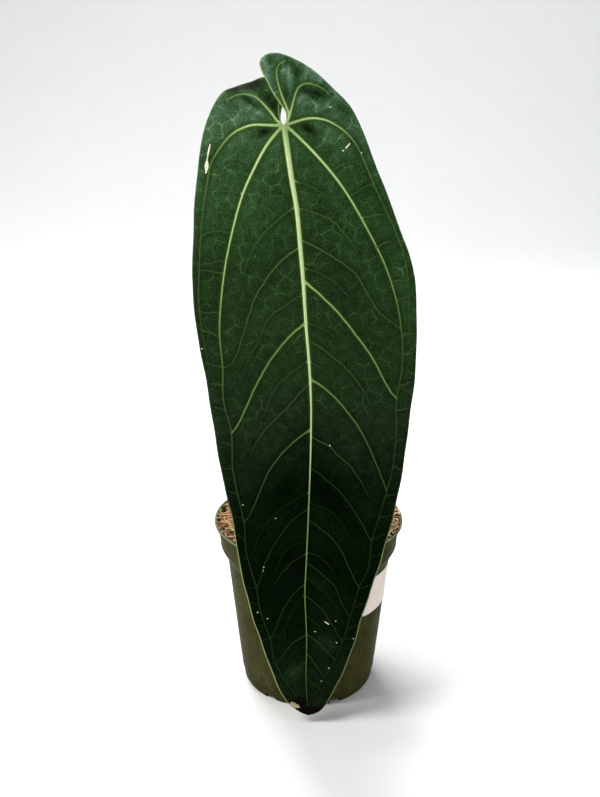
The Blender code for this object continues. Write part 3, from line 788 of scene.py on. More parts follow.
LEFT_BRANCHES = (
    branch(Rank.SIDE, 0.52, 0.4, 253, -7.9, 326.6, -13.2, 322.1, -20.6, 313.8, -28, 303.6, -37.8, 286.5,
           -50.5, 259.4),
    branch(Rank.SMALL, 0.3, 0.14, 298, -13.2, 377.2, -17.4, 374, -24.7, 366.2, -33.1, 355.5, -38.8, 344.7,
           -45.2, 326, -51.2, 306.9, -55.8, 301.5),
    branch(Rank.SIDE, 0.33, 0.05, 184.5, -3.7, 252.3, -9.5, 247.8, -19, 238.5, -25.3, 230.2, -30.6, 221.3,
           -42.2, 193.2),
    branch(Rank.SMALL, 0.02, 0.05, 129.5, -6.5, 190.8, -12.2, 185.6, -17.4, 179.8, -24.1, 169.1, -27.9,
           162.1, -32.9, 150, -36.3, 136.7),
    branch(Rank.SMALL, 0.045, 0.03, 81, -7, 127.3, -12.6, 121.6, -16.9, 114.4, -20.4, 106.6, -25.2, 93),
    branch(Rank.SMALL, 0.09, 0.03, 59.9, -6.6, 81.7, -11.9, 77.8, -18.6, 69),
    branch(Rank.FAINT, 0.2, 0.17, 0, -12.7, 406.1, -19.2, 401.3, -29.5, 392.3, -33.2, 388.4, -40.9, 375.9,
           -45.3, 361.9),
    branch(Rank.FAINT, 0.15, 0.08, 0, -5.6, 350, -15, 343.8, -25.1, 336.8, -29.8, 331.8, -34.3, 321.8,
           -35.5, 317.8, -41.2, 308.1, -49.4, 288.6),
    branch(Rank.FAINT, 0.13, 0.08, 0, -3.1, 303.3, -17.7, 292.1, -24.6, 284.8, -32.1, 267.7, -37.8, 261.1),
    branch(Rank.FAINT, 0.19, 0.11, 0, -3.8, 285.2, -8.3, 279.8, -17.1, 270.3, -28.4, 259.2, -33, 253.6,
           -38.6, 244.9, -42, 236.7),
    branch(Rank.FAINT, 0.03, 0.03, 0, -8.4, 153.8, -13.3, 150, -21.1, 140.8, -24.8, 133.4),
    branch(Rank.FAINT, 0.08, 0.06, 0, -7.9, 55.5, -11.4, 52.3, -14.3, 48.4, -17.7, 42.6),
    branch(Rank.FAINT, 0.0, 0.0, 0, -14.8, 199.3, -24.9, 191.7, -32.2, 182.4, -37.4, 172.0, -40.4, 162.3),
    branch(Rank.FAINT, 0.0, 0.0, 0, -6.8, 167.0, -12.7, 164.8, -19.3, 158.5, -24.6, 142.5),
    branch(Rank.FAINT, 0.0, 0.0, 0, -6.8, 117.3, -12.1, 106.7, -17.4, 95.2, -19.0, 80.5),
    branch(Rank.FAINT, 0.01, 0.01, 0, -6.8, 72.3, -12.2, 68.0, -16.9, 60.8),
    branch(Rank.CROSS, 0.17, 0.15, 0, -44.7, 430.1, -50.9, 434.6, -57.9, 432.5, -61.3, 428.6, -62.0, 418.2),
    branch(Rank.CROSS, 0.14, 0.12, 0, -17.1, 414.4, -27.4, 414.2, -34.3, 408.9, -34.4, 399.2),
    branch(Rank.CROSS, 0.13, 0.1, 0, -33.0, 401.8, -41.3, 397.1, -43.3, 392.5, -41.3, 385.3),
    branch(Rank.CROSS, 0.12, 0.1, 0, -20.6, 428.0, -26.7, 424.0),
    branch(Rank.CROSS, 0.12, 0.1, 0, -50.9, 434.6, -50.2, 442.9, -46.1, 444.9),
    branch(Rank.CROSS, 0.2, 0.16, 0, -47.3, 415.6, -59.6, 417.4, -70.7, 415.9),
    branch(Rank.CROSS, 0.16, 0.14, 0, -50.6, 401.2, -60.4, 402.9, -66, 402),
    branch(Rank.CROSS, 0.19, 0.17, 0, -54.2, 390, -63.8, 390.6, -69.2, 389.9, -73.1, 387.9, -76.2, 383.4),
    branch(Rank.CROSS, 0.17, 0.15, 0, -56.6, 371.2, -62.2, 371, -76.2, 368.5))

RIGHT_BRANCHES = (
    branch(Rank.SIDE, 0.68, 0.4, 277, -3.1, 357.7, 6.6, 349.8, 16.4, 340.5, 22.9, 333.5, 31.5, 322.6,
           39.1, 312.7, 45.2, 303.3, 54.5, 286),
    branch(Rank.SMALL, 0.27, 0.15, 326, 12, 376.8, 26.9, 366.9, 34.4, 359, 40.6, 348.4, 48.5, 336.5),
    branch(Rank.SIDE, 0.48, 0.12, 210, 7.9, 286.9, 13.5, 282.5, 25.2, 270, 34.4, 257.1, 41.3, 244.2, 48,
           229),
    branch(Rank.SMALL, 0.03, 0.05, 169.3, 4.6, 223.8, 13.8, 216.3, 20.2, 210.1, 25.1, 204.5, 36.6, 186.7),
    branch(Rank.SMALL, 0.04, 0.05, 129.5, 4.7, 181.2, 12, 175.7, 17.3, 170.1, 22.8, 162.6, 28.5, 149.3),
    branch(Rank.SMALL, 0.035, 0.03, 103, 7.6, 141.9, 13.8, 136, 18.6, 130.5, 20.9, 126, 26.3, 111.4),
    branch(Rank.SMALL, 0.045, 0.05, 79.4, 3.2, 115.2, 10.1, 108, 17.9, 94.3),
    branch(Rank.SMALL, 0.09, 0.06, 61, 3.1, 81.3, 9.4, 75.6, 12.6, 71.5),
    branch(Rank.FAINT, 0.19, 0.21, 0, -1, 404.7, 8, 401.8, 15.5, 398.4, 22.5, 391, 28.8, 383.4, 33.4, 377),
    branch(Rank.FAINT, 0.17, 0.12, 0, -0.5, 420.7, 9.2, 416.1, 14.4, 411.8),
    branch(Rank.FAINT, 0.2, 0.12, 0, 4.8, 315.5, 8.4, 313.3, 25.8, 298.9, 35.5, 286.4, 44.1, 271.6),
    branch(Rank.FAINT, 0.12, 0.07, 0, -1.7, 305.2, 11.7, 297.5, 19.7, 294.8),
    branch(Rank.FAINT, 0.11, 0.08, 0, 2.4, 329.2, 12.6, 324.6, 19, 319.1),
    branch(Rank.FAINT, 0.12, 0.11, 0, 0.3, 366.3, 9.4, 362.6, 17.6, 357.3, 28.3, 346.3, 31.7, 343.8),
    branch(Rank.FAINT, 0.15, 0.05, 0, 1.8, 249.6, 14.6, 242.9, 19.5, 237.4, 28.1, 229.6, 35.6, 218.6,
           42.5, 205.2),
    branch(Rank.FAINT, 0.08, 0.05, 0, 4.9, 58.5, 8.6, 52, 11.9, 46.1),
    branch(Rank.FAINT, 0.0, 0.0, 0, 2.5, 198.9, 11.2, 195.2, 18.5, 189.9, 24.4, 182.1, 29.6, 170.1),
    branch(Rank.FAINT, 0.01, 0.01, 0, 1.2, 157.6, 6.4, 156.2, 13.1, 150.7, 18.3, 141.6),
    branch(Rank.FAINT, 0.01, 0.01, 0, 1.3, 134.3, 9.6, 126.9, 15.6, 119.2, 20.9, 111.4),
    branch(Rank.FAINT, 0.05, 0.04, 0, 0.2, 42.6, 7.2, 36.4, 12.7, 27.9),
    branch(Rank.FAINT, 0.01, 0.01, 0, 0.7, 99.9, 7.6, 93.0, 13.7, 82.2),
    branch(Rank.CROSS, 0.14, 0.12, 0, 13.8, 397.9, 16.5, 402.4, 24.8, 407.5),
    branch(Rank.CROSS, 0.13, 0.11, 0, -4.8, 422.2, 2.8, 419.5, 10.3, 415.5, 18.6, 412.8),
    branch(Rank.CROSS, 0.13, 0.11, 0, 11.7, 415.5, 8.3, 408.4, 13.8, 403.8),
    branch(Rank.CROSS, 0.13, 0.11, 0, 8.3, 443.8, 15.9, 444.9, 21.4, 448.0),
    branch(Rank.CROSS, 0.22, 0.18, 0, 15.5, 431.4, 26.1, 435.4, 33.2, 436),
    branch(Rank.CROSS, 0.2, 0.18, 0, 29.4, 414.9, 38.1, 419.8, 45.2, 421.2),
    branch(Rank.CROSS, 0.22, 0.2, 0, 36.7, 399.9, 45.2, 401.2, 52.3, 401.6),
    branch(Rank.CROSS, 0.22, 0.2, 0, 44.8, 379.4, 50.4, 382.7, 58.5, 384.4))


@dataclass(frozen=True)
class LeafPlan:
    """The leaf seen from the front, as x to the right and z up: its edge and its veins."""

    hub: Span = (-17.8, 459.5)
    tip: Span = (-0.5, 8.6)
    midrib: Profile = pairs(
        -14.9, 440.3, -12.5, 425, -9.1, 406, -6.5, 380, -4.4, 356, -2.6, 328, -0.3, 300, 1, 268, 0.2, 220,
        -2.3, 148, -3.2, 122, -1.8, 82, -2.1, 41)
    left_margin: Profile = pairs(
        -19.9, 462, -20.1, 468.3, -18.6, 474.6, -17.9, 482.2, -20.7, 489.8, -26.3, 493.3, -33.2, 492.6,
        -40.6, 488.6, -50.6, 485.1, -59.8, 481.2, -66.6, 472.4, -72.6, 458.6, -75.3, 446.6, -78, 426.4,
        -80, 405.7, -80.8, 382, -81.6, 358.5, -79.1, 326.4, -73.2, 293.7, -68.1, 260, -63, 224.8, -55.9,
        187.9, -50.9, 147.8, -42.9, 104.3, -33.9, 69.6, -25.7, 42, -17.2, 22.2, -10.8, 15.2, -5.3, 10.8)
    right_margin: Profile = pairs(
        -16.9, 461.6, -16.3, 465, -16.8, 468.5, -21.7, 475.2, -25.4, 480.3, -29.1, 487.1, -33.1, 494,
        -34.8, 500.2, -32.9, 503.6, -28.6, 506, -20.5, 506, -8.8, 501.6, 3.5, 494.3, 15.3, 484, 27.5,
        472.1, 34, 461.1, 39.2, 449.5, 45.9, 432.2, 52.8, 416.4, 63, 389.8, 69.3, 374, 73.2, 356, 74.4,
        326.2, 73.7, 293.6, 69.9, 260.2, 66.2, 225.4, 60, 188.8, 51, 148.6, 40.1, 104.6, 32.6, 70.6, 23.5,
        43.3, 14.8, 22.5, 8.9, 13.5, 4.2, 10)
    basal_left: Profile = pairs(
        -22.2, 455.6, -29.3, 447.3, -36.3, 435.7, -46.5, 414.2, -55.4, 382.4, -60.3, 355.4, -62.7, 324.6,
        -60.8, 299, -60.5, 277, -55.2, 252.9, -54.6, 226, -47.3, 184.5, -46, 160, -39.1, 129.5, -37, 111,
        -29.4, 81, -26.5, 62, -18.6, 43.2, -9, 27)
    basal_right: Profile = pairs(
        -12.6, 456.4, 5.8, 439, 21.6, 420.7, 35.7, 398.9, 51.7, 368.6, 59.9, 344.8, 64.1, 320.8, 64.5,
        300, 60.9, 277.7, 61, 254.4, 59.5, 230.9, 55.3, 210.1, 50, 190, 45.4, 169.3, 43, 146.5, 36.8,
        129.5, 30.9, 103.1, 25.3, 79.4, 20, 62, 11.5, 44.7, 6, 30)
    arc_left: Profile = pairs(
        -30.2, 459.7, -37.1, 459.8, -42.5, 459, -51.3, 455.2, -57.4, 450.1, -64, 441.8, -68.4, 434, -70.6,
        423.6, -71.8, 415.7, -73.7, 405.4, -75.2, 390, -76.5, 367.3, -77.2, 350, -75.4, 326.8, -69.5, 296)
    arc_right: Profile = pairs(
        -10, 462, -2, 463.9, 4.9, 464, 12.9, 462.1, 21.3, 457.4, 26.5, 453.1, 30.9, 447.9, 35.3, 440.4,
        43, 423.2, 50.8, 407, 59.3, 389.9, 66, 370, 68.4, 349.6, 69, 330, 68.3, 314)
    lobe_left: Profile = pairs(
        -22.6, 462.6, -27.5, 468.5, -35.4, 475.8, -39.5, 478, -44.2, 478.9, -50, 478.7, -57.9, 475.2)
    lobe_left_inner: Profile = pairs(-20.6, 464, -21.8, 471, -21.3, 478, -23.4, 485)
    lobe_right: Profile = pairs(
        -14.7, 464, -12.6, 471, -10.1, 479.6, -8.4, 483.4, -6.4, 485.3, -2.2, 486.5, 3.4, 485.5, 9.6,
        482.6, 13.5, 478.9)
    lobe_right_inner: Profile = pairs(
        -14.6, 464, -14.6, 467.5, -17.4, 474.5, -20.1, 481, -22, 487.1, -23, 493.4, -21.6, 498.4, -16.8,
        501.3)
    branches_left: tuple[Branch, ...] = LEFT_BRANCHES
    branches_right: tuple[Branch, ...] = RIGHT_BRANCHES
    crossed_top: float = 360.0
    crossed_length: float = 320.0
    crossed_share: float = 0.88

    def margin(self, side: int, step: float) -> Array:
        """Return one half's edge from the hub to the tip."""
        points = self.left_margin if side < 0 else self.right_margin
        return smooth_path((self.hub, *points, self.tip), step)

    def from_hub(self, points: Profile, step: float) -> Array:
        """Return a vein's course that starts at the hub."""
        return smooth_path((self.hub, *points), step)

    def veins(self, step: float, crossings: int, seed: int) -> list[Vein]:
        """Work out every vein.

        Args:
            step: About how far apart the points of a course lie.
            crossings: How many small veins cross to the edge on each side.
            seed: The seed for the places of those.

        Returns:
            The veins, the midrib first.
        """
        midrib = smooth_path((self.hub, *self.midrib, self.tip), step)
        veins = [Vein(0, midrib, Rank.MIDRIB)]
        rng = random.Random(seed)
        halves = ((-1, self.basal_left, self.arc_left, self.branches_left),
                  (1, self.basal_right, self.arc_right, self.branches_right))
        for side, basal_points, arc_points, branches in halves:
            basal = self.from_hub(basal_points, step)
            veins.append(Vein(side, basal, Rank.BASAL, (1.0, 1.0 if side < 0 else 0.3)))
            veins.append(Vein(side, self.from_hub(arc_points, step), Rank.ARC))
            for small in branches:
                points = list(small.points)
                if small.rank is not Rank.CROSS:
                    (start, start_up), (bend, bend_up) = points[:2]
                    lean = (start_up - bend_up) / abs(start - bend)
                    reach = side * (start - np.interp(start_up, midrib[::-1, 1], midrib[::-1, 0]))
                    height = start_up + 0.8 * lean * reach
                    points.insert(0, (float(np.interp(height, midrib[::-1, 1], midrib[::-1, 0])), height))
                if small.meets:
                    points.append(tuple(min(basal, key=lambda point: abs(point[1] - small.meets))))
                course = smooth_path(points, step)
                sway = np.column_stack((ripple(course, 5.0, 4.2), ripple(course, 5.0, 8.9)))
                reach = 0.3 if small.rank is Rank.SIDE else 0.7
                veins.append(Vein(side, course + reach * sway, small.rank, small.pale))
            veins.extend(self.cross_veins(side, basal, crossings, rng, step))
        veins.append(Vein(-1, self.from_hub(self.lobe_left, step), Rank.LOBE, (0.8, 0.34)))
        veins.append(Vein(-1, self.from_hub(self.lobe_left_inner, step), Rank.FAINT, (0.5, 0.3)))
        veins.append(Vein(1, self.from_hub(self.lobe_right, step), Rank.LOBE, (0.85, 0.3)))
        veins.append(Vein(1, self.from_hub(self.lobe_right_inner, step), Rank.LOBE, (0.8, 0.4)))
        return veins

    def cross_veins(self, side: int, basal: Array, count: int, rng: random.Random,
                    step: float) -> list[Vein]:
        """Run small veins from the long side vein out to the edge.

        Args:
            side: The half that they are on.
            basal: The long side vein's course.
            count: How many there are.
            rng: The source of their small differences.
            step: About how far apart the points of a course lie.

        Returns:
            The small veins.
        """
        margin = self.margin(side, 2.0)
        outer = margin[len(margin) // 6:]
        veins = []
        for index in range(count):
            height = self.crossed_top - (index + rng.uniform(-0.25, 0.25)) * self.crossed_length / count
            start = min(basal, key=lambda point: abs(point[1] - height))
            end = min(outer, key=lambda point: abs(point[1] - height - rng.uniform(0, 5)))
            end = start + (end - start) * self.crossed_share
            bends = [start + (end - start) * share + np.array((0.0, rng.uniform(-1.2, 1.8)))
                     for share in (0.35, 0.68)]
            pale = 0.01 + 0.17 * float(ease(height, 150, 330))
            veins.append(Vein(side, smooth_path((start, *bends, end), step), Rank.CROSS, (pale, pale)))
        return veins


@dataclass
class VeinNet:
    """The fine net between the veins: cells round scattered seeds, whose borders are the net."""

    cell: float = 9.5
    beside: float = 4.4
    wander: float = 1.3
    wander_size: float = 11.0
    spacing: int = 7
    tries: int = 14000
    seed: int = 5

    def plant(self, outline: Array, courses: Iterable[Array]) -> None:
        """Place the seeds, in pairs along the veins and then between them.

        Args:
            outline: The half's closed outline.
            courses: The courses that the cells keep to.
        """
        rng = random.Random(self.seed)
        scatter = Scatter(self.cell)
        for course in courses:
            line = resample(course, 1.0)
            for index in range(4, len(line) - 4, self.spacing):
                along = line[index + 1] - line[index - 1]
                across = np.array((-along[1], along[0])) / max(float(np.linalg.norm(along)), 1e-6)
                pair = [line[index] + self.beside * turn * across for turn in (-1, 1)]
                if all(scatter.is_free(spot, self.beside * 1.5) for spot in pair):
                    for spot in pair:
                        scatter.keep(spot)
        low, high = outline.min(axis=0) - 2 * self.cell, outline.max(axis=0) + 2 * self.cell
        for _ in range(self.tries):
            spot = rng.uniform(low[0], high[0]), rng.uniform(low[1], high[1])
            if scatter.is_free(spot, self.cell * rng.uniform(0.7, 1.0)):
                scatter.keep(spot)
        self.seeds = np.array(scatter.points)
        self.tree = kdtree.KDTree(len(self.seeds))
        for index, (across, up) in enumerate(self.seeds):
            self.tree.insert((across, up, 0.0), index)
        self.tree.balance()

    def drift(self, points: Array) -> Array:
        """Return how far the net is shifted at some points, which bends its straight borders."""
        return self.wander * np.column_stack((ripple(points, self.wander_size, 3.1),
                                              ripple(points, self.wander_size, 7.7)))

    def gap(self, points: Array) -> Array:
        """Return how far some points lie from the nearest line of the net.

        Args:
            points: Flat points, one to a row.

        Returns:
            The distances.
        """
        gaps = []
        for across, up in points + self.drift(points):
            (near, _, first), (far, _, second) = self.tree.find_n((across, up, 0.0), 2)
            here = Vector((across, up, 0.0))
            apart = (far - near).length
            gaps.append(((here - far).length_squared - (here - near).length_squared) / (2 * apart))
        return np.array(gaps)

    def lines(self, step: float) -> Array:
        """Return points along the net's lines, a step apart.

        Args:
            step: The widest gap between two of them.

        Returns:
            The points, one to a row.
        """
        flat, triangles = triangulate_cloud(self.seeds)
        first, second, third = (flat[triangles[:, column]] for column in range(3))
        centres = circle_centres(first, second, third)
        beside: dict[tuple[int, int], int] = {}
        points = []
        for index, corners in enumerate(triangles.tolist()):
            for start, end in zip(corners, corners[1:] + corners[:1]):
                edge = (min(start, end), max(start, end))
                if edge in beside:
                    ends = centres[[beside[edge], index]]
                    if np.linalg.norm(ends[1] - ends[0]) < 3 * self.cell:
                        points.append(resample(ends, step))
                beside[edge] = index
        bent = np.concatenate(points)
        flat = bent.copy()
        for _ in range(4):
            flat = bent - self.drift(flat)
        return flat


def triangulate_cloud(points: Array) -> tuple[Array, Array]:
    """Join a cloud of flat points into triangles."""
    result = geometry.delaunay_2d_cdt([Vector(point) for point in points], [], [], 0, 1e-6)
    return np.array([tuple(point) for point in result[0]]), np.array([tuple(face) for face in result[2]])


def circle_centres(first: Array, second: Array, third: Array) -> Array:
    """Return the centre of the circle through each three points.

    Args:
        first: The first point of each three.
        second: The second points.
        third: The third points.

    Returns:
        The centres, one to a row.
    """
    b, c = second - first, third - first
    twice = 2 * (b[:, 0] * c[:, 1] - b[:, 1] * c[:, 0])
    twice = np.where(np.abs(twice) < 1e-6, 1e-6, twice)
    b_square, c_square = (b * b).sum(1), (c * c).sum(1)
    across = (c[:, 1] * b_square - b[:, 1] * c_square) / twice
    up = (b[:, 0] * c_square - c[:, 0] * b_square) / twice
    return first + np.column_stack((across, up))


@dataclass(frozen=True)
class Mark:
    """An old mark on the blade: the side it is on, its flat course and half its width along it."""

    side: int
    points: Profile
    half_width: Profile

    @classmethod
    def speck(cls, side: int, across: float, up: float, radius: float) -> "Mark":
        """Return a small round mark."""
        radius *= 0.45
        return cls(side, ((across - 0.3, up), (across + 0.3, up)), ((0, radius), (1, radius)))


MARKS = (
    Mark(-1, pairs(-68.7, 447.0, -69.8, 443.0, -70.6, 438.9), pairs(0, 0.3, 0.4, 0.6, 1, 0.35)),
    Mark(-1, pairs(-70.9, 437.5, -71.3, 432.8, -71.9, 428.0), pairs(0, 0.35, 0.5, 1.5, 1, 0.3)),
    Mark(1, pairs(24.9, 444.9, 27.4, 447.4), pairs(0, 0.55, 1, 0.4)),
    Mark(1, pairs(12.2, 97.5, 14.8, 95.6), pairs(0, 0.35, 1, 0.4)),
    *(Mark.speck(*row) for row in (
        (1, 14.1, 471.1, 0.75), (1, 22.7, 443.0, 0.8), (1, 35.6, 441.2, 0.8), (1, 14.3, 244.1, 0.7),
        (-1, -75.1, 312.4, 0.6), (-1, -72.4, 289.8, 0.45), (-1, -47.9, 199.5, 0.6), (-1, -24.5, 188.0, 0.5),
        (-1, -33.6, 147.5, 0.6), (-1, -34.0, 144.6, 0.55), (-1, -38.7, 108.2, 0.75),
        (-1, -31.3, 102.3, 0.7), (1, 33.7, 84.2, 0.8), (1, 21.1, 79.3, 0.7), (1, 15.4, 54.9, 0.7),
        (1, 4.7, 88.3, 0.6), (1, 20.1, 98.9, 0.5), (1, 9.7, 42.6, 0.5))))


@dataclass(frozen=True)
class ShadePatch:
    """A painted shadow or highlight on one half: its middle, two reaches, turn, and how much lighter."""

    side: int
    across: float
    up: float
    long: float
    wide: float
    turn_deg: float
    amount: float

    def at(self, points: Array) -> Array:
        """Return how much lighter the patch makes some points.

        Args:
            points: Flat points, one to a row.

        Returns:
            The amounts, below 0 where it darkens.
        """
        turn = math.radians(self.turn_deg)
        lean = np.array(((math.cos(turn), -math.sin(turn)), (math.sin(turn), math.cos(turn))))
        away = (points - (self.across, self.up)) @ lean / (self.long, self.wide)
        return self.amount * np.exp(-(away ** 2).sum(axis=1))


# Painted shadows and highlights on the blade: side, middle, two reaches, turn and amount.
SHADE_PATCHES = tuple(ShadePatch(*row) for row in (
    (1, -25.8, 500.8, 4.0, 2.7, -60, -0.65), (1, -13.1, 499.1, 4.7, 2.7, -45, -0.72),
    (1, -8.9, 493.3, 4.7, 3.0, -40, -0.72), (1, -1.3, 481.4, 8.0, 3.0, -15, -0.87),
    (1, 7.0, 479.1, 5.3, 2.7, -30, -0.65), (1, 23.6, 469.2, 5.3, 3.0, -45, -0.51),
    (1, -0.6, 457.0, 9.4, 3.3, -25, -0.92), (1, -16.5, 481.3, 6.0, 2.0, -75, -0.58),
    (1, 12.5, 452.0, 10.4, 4.4, -40, 0.12), (-1, -31.5, 455.6, 6.7, 3.3, 20, -0.92),
    (-1, -41.5, 474.9, 9.4, 3.0, -20, -0.65), (-1, -48.6, 483.1, 10.6, 3.3, 15, -0.87),
    (-1, -37.1, 487.5, 6.7, 3.3, 30, -0.72), (-1, -28.4, 476.9, 7.3, 3.3, -60, -0.51),
    (-1, -55.4, 472.2, 8.9, 4.4, 60, -0.20), (1, 5.5, 408.4, 44.4, 10.4, -72, -0.15),
    (1, 26.4, 345.6, 33.3, 8.9, -60, -0.12), (-1, -45.4, 399.6, 22.2, 14.8, -90, 0.15),
    (1, 15.5, 201.7, 28.1, 7.4, -50, -0.65), (-1, -18.3, 211.2, 19.2, 9.6, 50, -0.55),
    (-1, -17.1, 155.8, 10.4, 5.2, 45, -0.50), (1, 13.8, 150.7, 11.8, 4.4, -40, -0.60),
    (1, 23.8, 228.2, 13.3, 6.7, -45, 0.30), (1, 13.0, 79.4, 9.6, 7.4, -60, 1.44),
    (-1, -10.4, 51.7, 7.4, 5.2, 45, 1.60), (1, 8.8, 133.0, 10.4, 6.7, -45, 0.80),
    (1, -14.1, 498.2, 4.3, 1.3, -76, 0.7), (1, -7.9, 492.0, 3.7, 1.3, -61, 0.6),
    (1, -2.4, 479.5, 6.6, 1.1, 38, 0.5), (1, 2.5, 473.0, 6.8, 1.1, -14, 0.3),
    (1, 2.5, 474.3, 5.2, 1.1, -53, 0.3), (1, -25.8, 500.8, 3.6, 1.3, -84, 0.9),
    (1, -22.4, 501.4, 2.9, 1.3, -83, 0.7), (1, 11.1, 472.0, 4.7, 1.1, 54, 0.2),
    (-1, -46.5, 483.8, 4.4, 1.0, -60, 0.5), (-1, -42.3, 484.5, 3.3, 1.0, -76, 0.5),
    (-1, -35.6, 484.2, 4.1, 1.0, 85, 0.7), (-1, -32.1, 480.8, 5.4, 1.0, 71, 0.7),
    (-1, -51.4, 483.4, 3.2, 1.0, -28, 0.4), (1, 18.0, 218.0, 32.0, 22.0, 0, -0.45),
    (-1, -8.0, 196.0, 16.0, 12.0, 0, -0.4), (-1, -18.0, 405.0, 14.0, 30.0, 0, -0.14),
    (1, 60.0, 405.0, 22.0, 28.0, 0, 0.2), (-1, -78.0, 400.0, 10.0, 24.0, 0, 0.2),
    (1, 14.0, 105.0, 14.0, 16.0, 0, 0.35), (1, 67.0, 345.0, 42.0, 6.5, -86, 0.5),
    (-1, -58.0, 430.0, 22.0, 9.0, 70, 0.2), (1, 36.0, 421.0, 17.0, 8.0, -60, -0.3),
    (1, 14.0, 472.0, 14.0, 8.0, -10, -0.16)))


@dataclass(frozen=True)
class VelvetSkin:
    """The finish of the blade: dark velvet in front, matt and paler behind, with pale veins."""

    # Skin colours for each level of painted shade, from deep shade to highlight.
    shade_tones: Stops = (
        (0.0, (0.0003, 0.0011, 0.0002)), (0.05, (0.0012, 0.0042, 0.0009)), (0.1, (0.0038, 0.0086, 0.003)),
        (0.2, (0.0086, 0.018, 0.0064)), (0.3, (0.011, 0.0275, 0.008)), (0.5, (0.019, 0.048, 0.0148)),
        (0.8, (0.038, 0.086, 0.038)), (1.0, (0.085, 0.15, 0.096)))
    veins: Stops = (
        (0.0, (0.0026, 0.0075, 0.0018)), (0.1, (0.021, 0.037, 0.0115)), (0.25, (0.042, 0.08, 0.019)),
        (0.5, (0.145, 0.225, 0.076)), (0.75, (0.31, 0.425, 0.17)), (1.0, (0.5, 0.61, 0.31)))
    glow: Colour = (0.046, 0.102, 0.008)
    rim: Colour = (0.3, 0.37, 0.15)
    back: Colour = (0.055, 0.102, 0.032)
    back_light: Colour = (0.08, 0.142, 0.048)
    back_vein: Colour = (0.21, 0.28, 0.115)
    dead: Colour = (0.004, 0.0035, 0.002)
    dry: Colour = (0.5, 0.42, 0.22)
    dry_pale: Colour = (0.8, 0.77, 0.56)
    dimmer: Colour = (0.9, 0.9, 0.9)
    brighter: Colour = (1.12, 1.12, 1.12)
    net_light: Colour = (2.05, 1.9, 1.75)
    mottled: float = 85.0
    web: float = 430.0
    grit: Triple = (900.0, 2.0, 0.7)
    weave: Triple = (2600.0, 2.0, 0.6)
    relief: Span = (0.0002, 0.5)

    def material(self) -> Material:
        """Build the blade's material from the values kept at its vertices.

        Returns:
            The material.
        """
        bench = Surface("leaf_velvet")
        place = bench.place
        mottle = bench.group(Effect.MOTTLE, size=self.mottled, dark=self.dimmer, light=self.brighter)
        cells = bench.add("ShaderNodeTexVoronoi", {"Vector": place, "Scale": self.web},
                          feature="DISTANCE_TO_EDGE").outputs["Distance"]
        web = bench.between(cells, 0.12, 0.02)
        # The tone holds the painted shade and highlights as well as random blotches.
        skin = bench.ramp(bench.attribute("tone"), self.shade_tones)
        skin = bench.blend(1.0, skin, mottle.outputs["Colour"], "MULTIPLY")
        grit = bench.between(bench.noise(place, *self.grit), 0.34, 0.67, 0.62, 1.5)
        skin = bench.blend(1.0, skin, bench.point(grit, grit, grit), "MULTIPLY")
        net = bench.between(bench.attribute("net_gap"), 0.65, 0.1)
        net = bench.times(net, bench.attribute("net_strength"))
        lines = bench.math("MAXIMUM", net, bench.times(web, 0.14))
        skin = bench.blend(lines, skin, bench.blend(1.0, skin, self.net_light, "MULTIPLY"))
        edge, paleness = bench.attribute("vein_edge"), bench.attribute("vein_paleness")
        skin = bench.blend(bench.attribute("vein_glow"), skin, self.glow)
        vein = bench.ramp(paleness, self.veins)
        vein = bench.blend(bench.times(bench.between(edge, 0.75, 1.15), 0.6), vein, self.glow)
        front = bench.blend(bench.between(edge, 1.2, 0.85), skin, vein, "LIGHTEN")
        rim = bench.between(bench.attribute("edge_gap"), 0.95, 0.35)
        rim = bench.times(rim, bench.attribute("rim_light"))
        front = bench.blend(rim, front, self.rim)
        under = bench.blend(bench.between(mottle.outputs["Height"], 0.3, 0.7), self.back, self.back_light)
        under = bench.blend(bench.times(net, 0.4), under, self.back_vein)
        under = bench.blend(bench.between(edge, 1.5, 0.6), under, self.back_vein)
        colour = bench.blend(bench.attribute("underside"), front, under)
        dead = bench.plus(bench.attribute("dead"), bench.times(web, 0.1))
        colour = bench.blend(bench.between(dead, 0.35, 0.6), colour, self.dead)
        mark = bench.attribute("mark_edge")
        colour = bench.blend(bench.between(mark, 1.15, 0.85), colour,
                             bench.blend(bench.between(mark, 0.85, 1.1), self.dry_pale, self.dry))
        rough = bench.between(mottle.outputs["Height"], 0.3, 0.7, 0.5, 0.62)
        weave = bench.plus(bench.times(cells, 0.8), bench.noise(place, *self.weave))
        bench.bump(weave, *self.relief)
        bench.shader.inputs["Specular IOR Level"].default_value = 0.004
        bench.shader.inputs["Coat IOR"].default_value = 1.4
        coat = bench.times(bench.attribute("gloss"), 0.4)
        return bench.finish(base_color=colour, roughness=rough, coat_weight=coat, coat_roughness=0.38,
                            sheen_weight=0.002, sheen_roughness=0.5, sheen_tint=(0.4, 0.75, 0.45, 1.0))


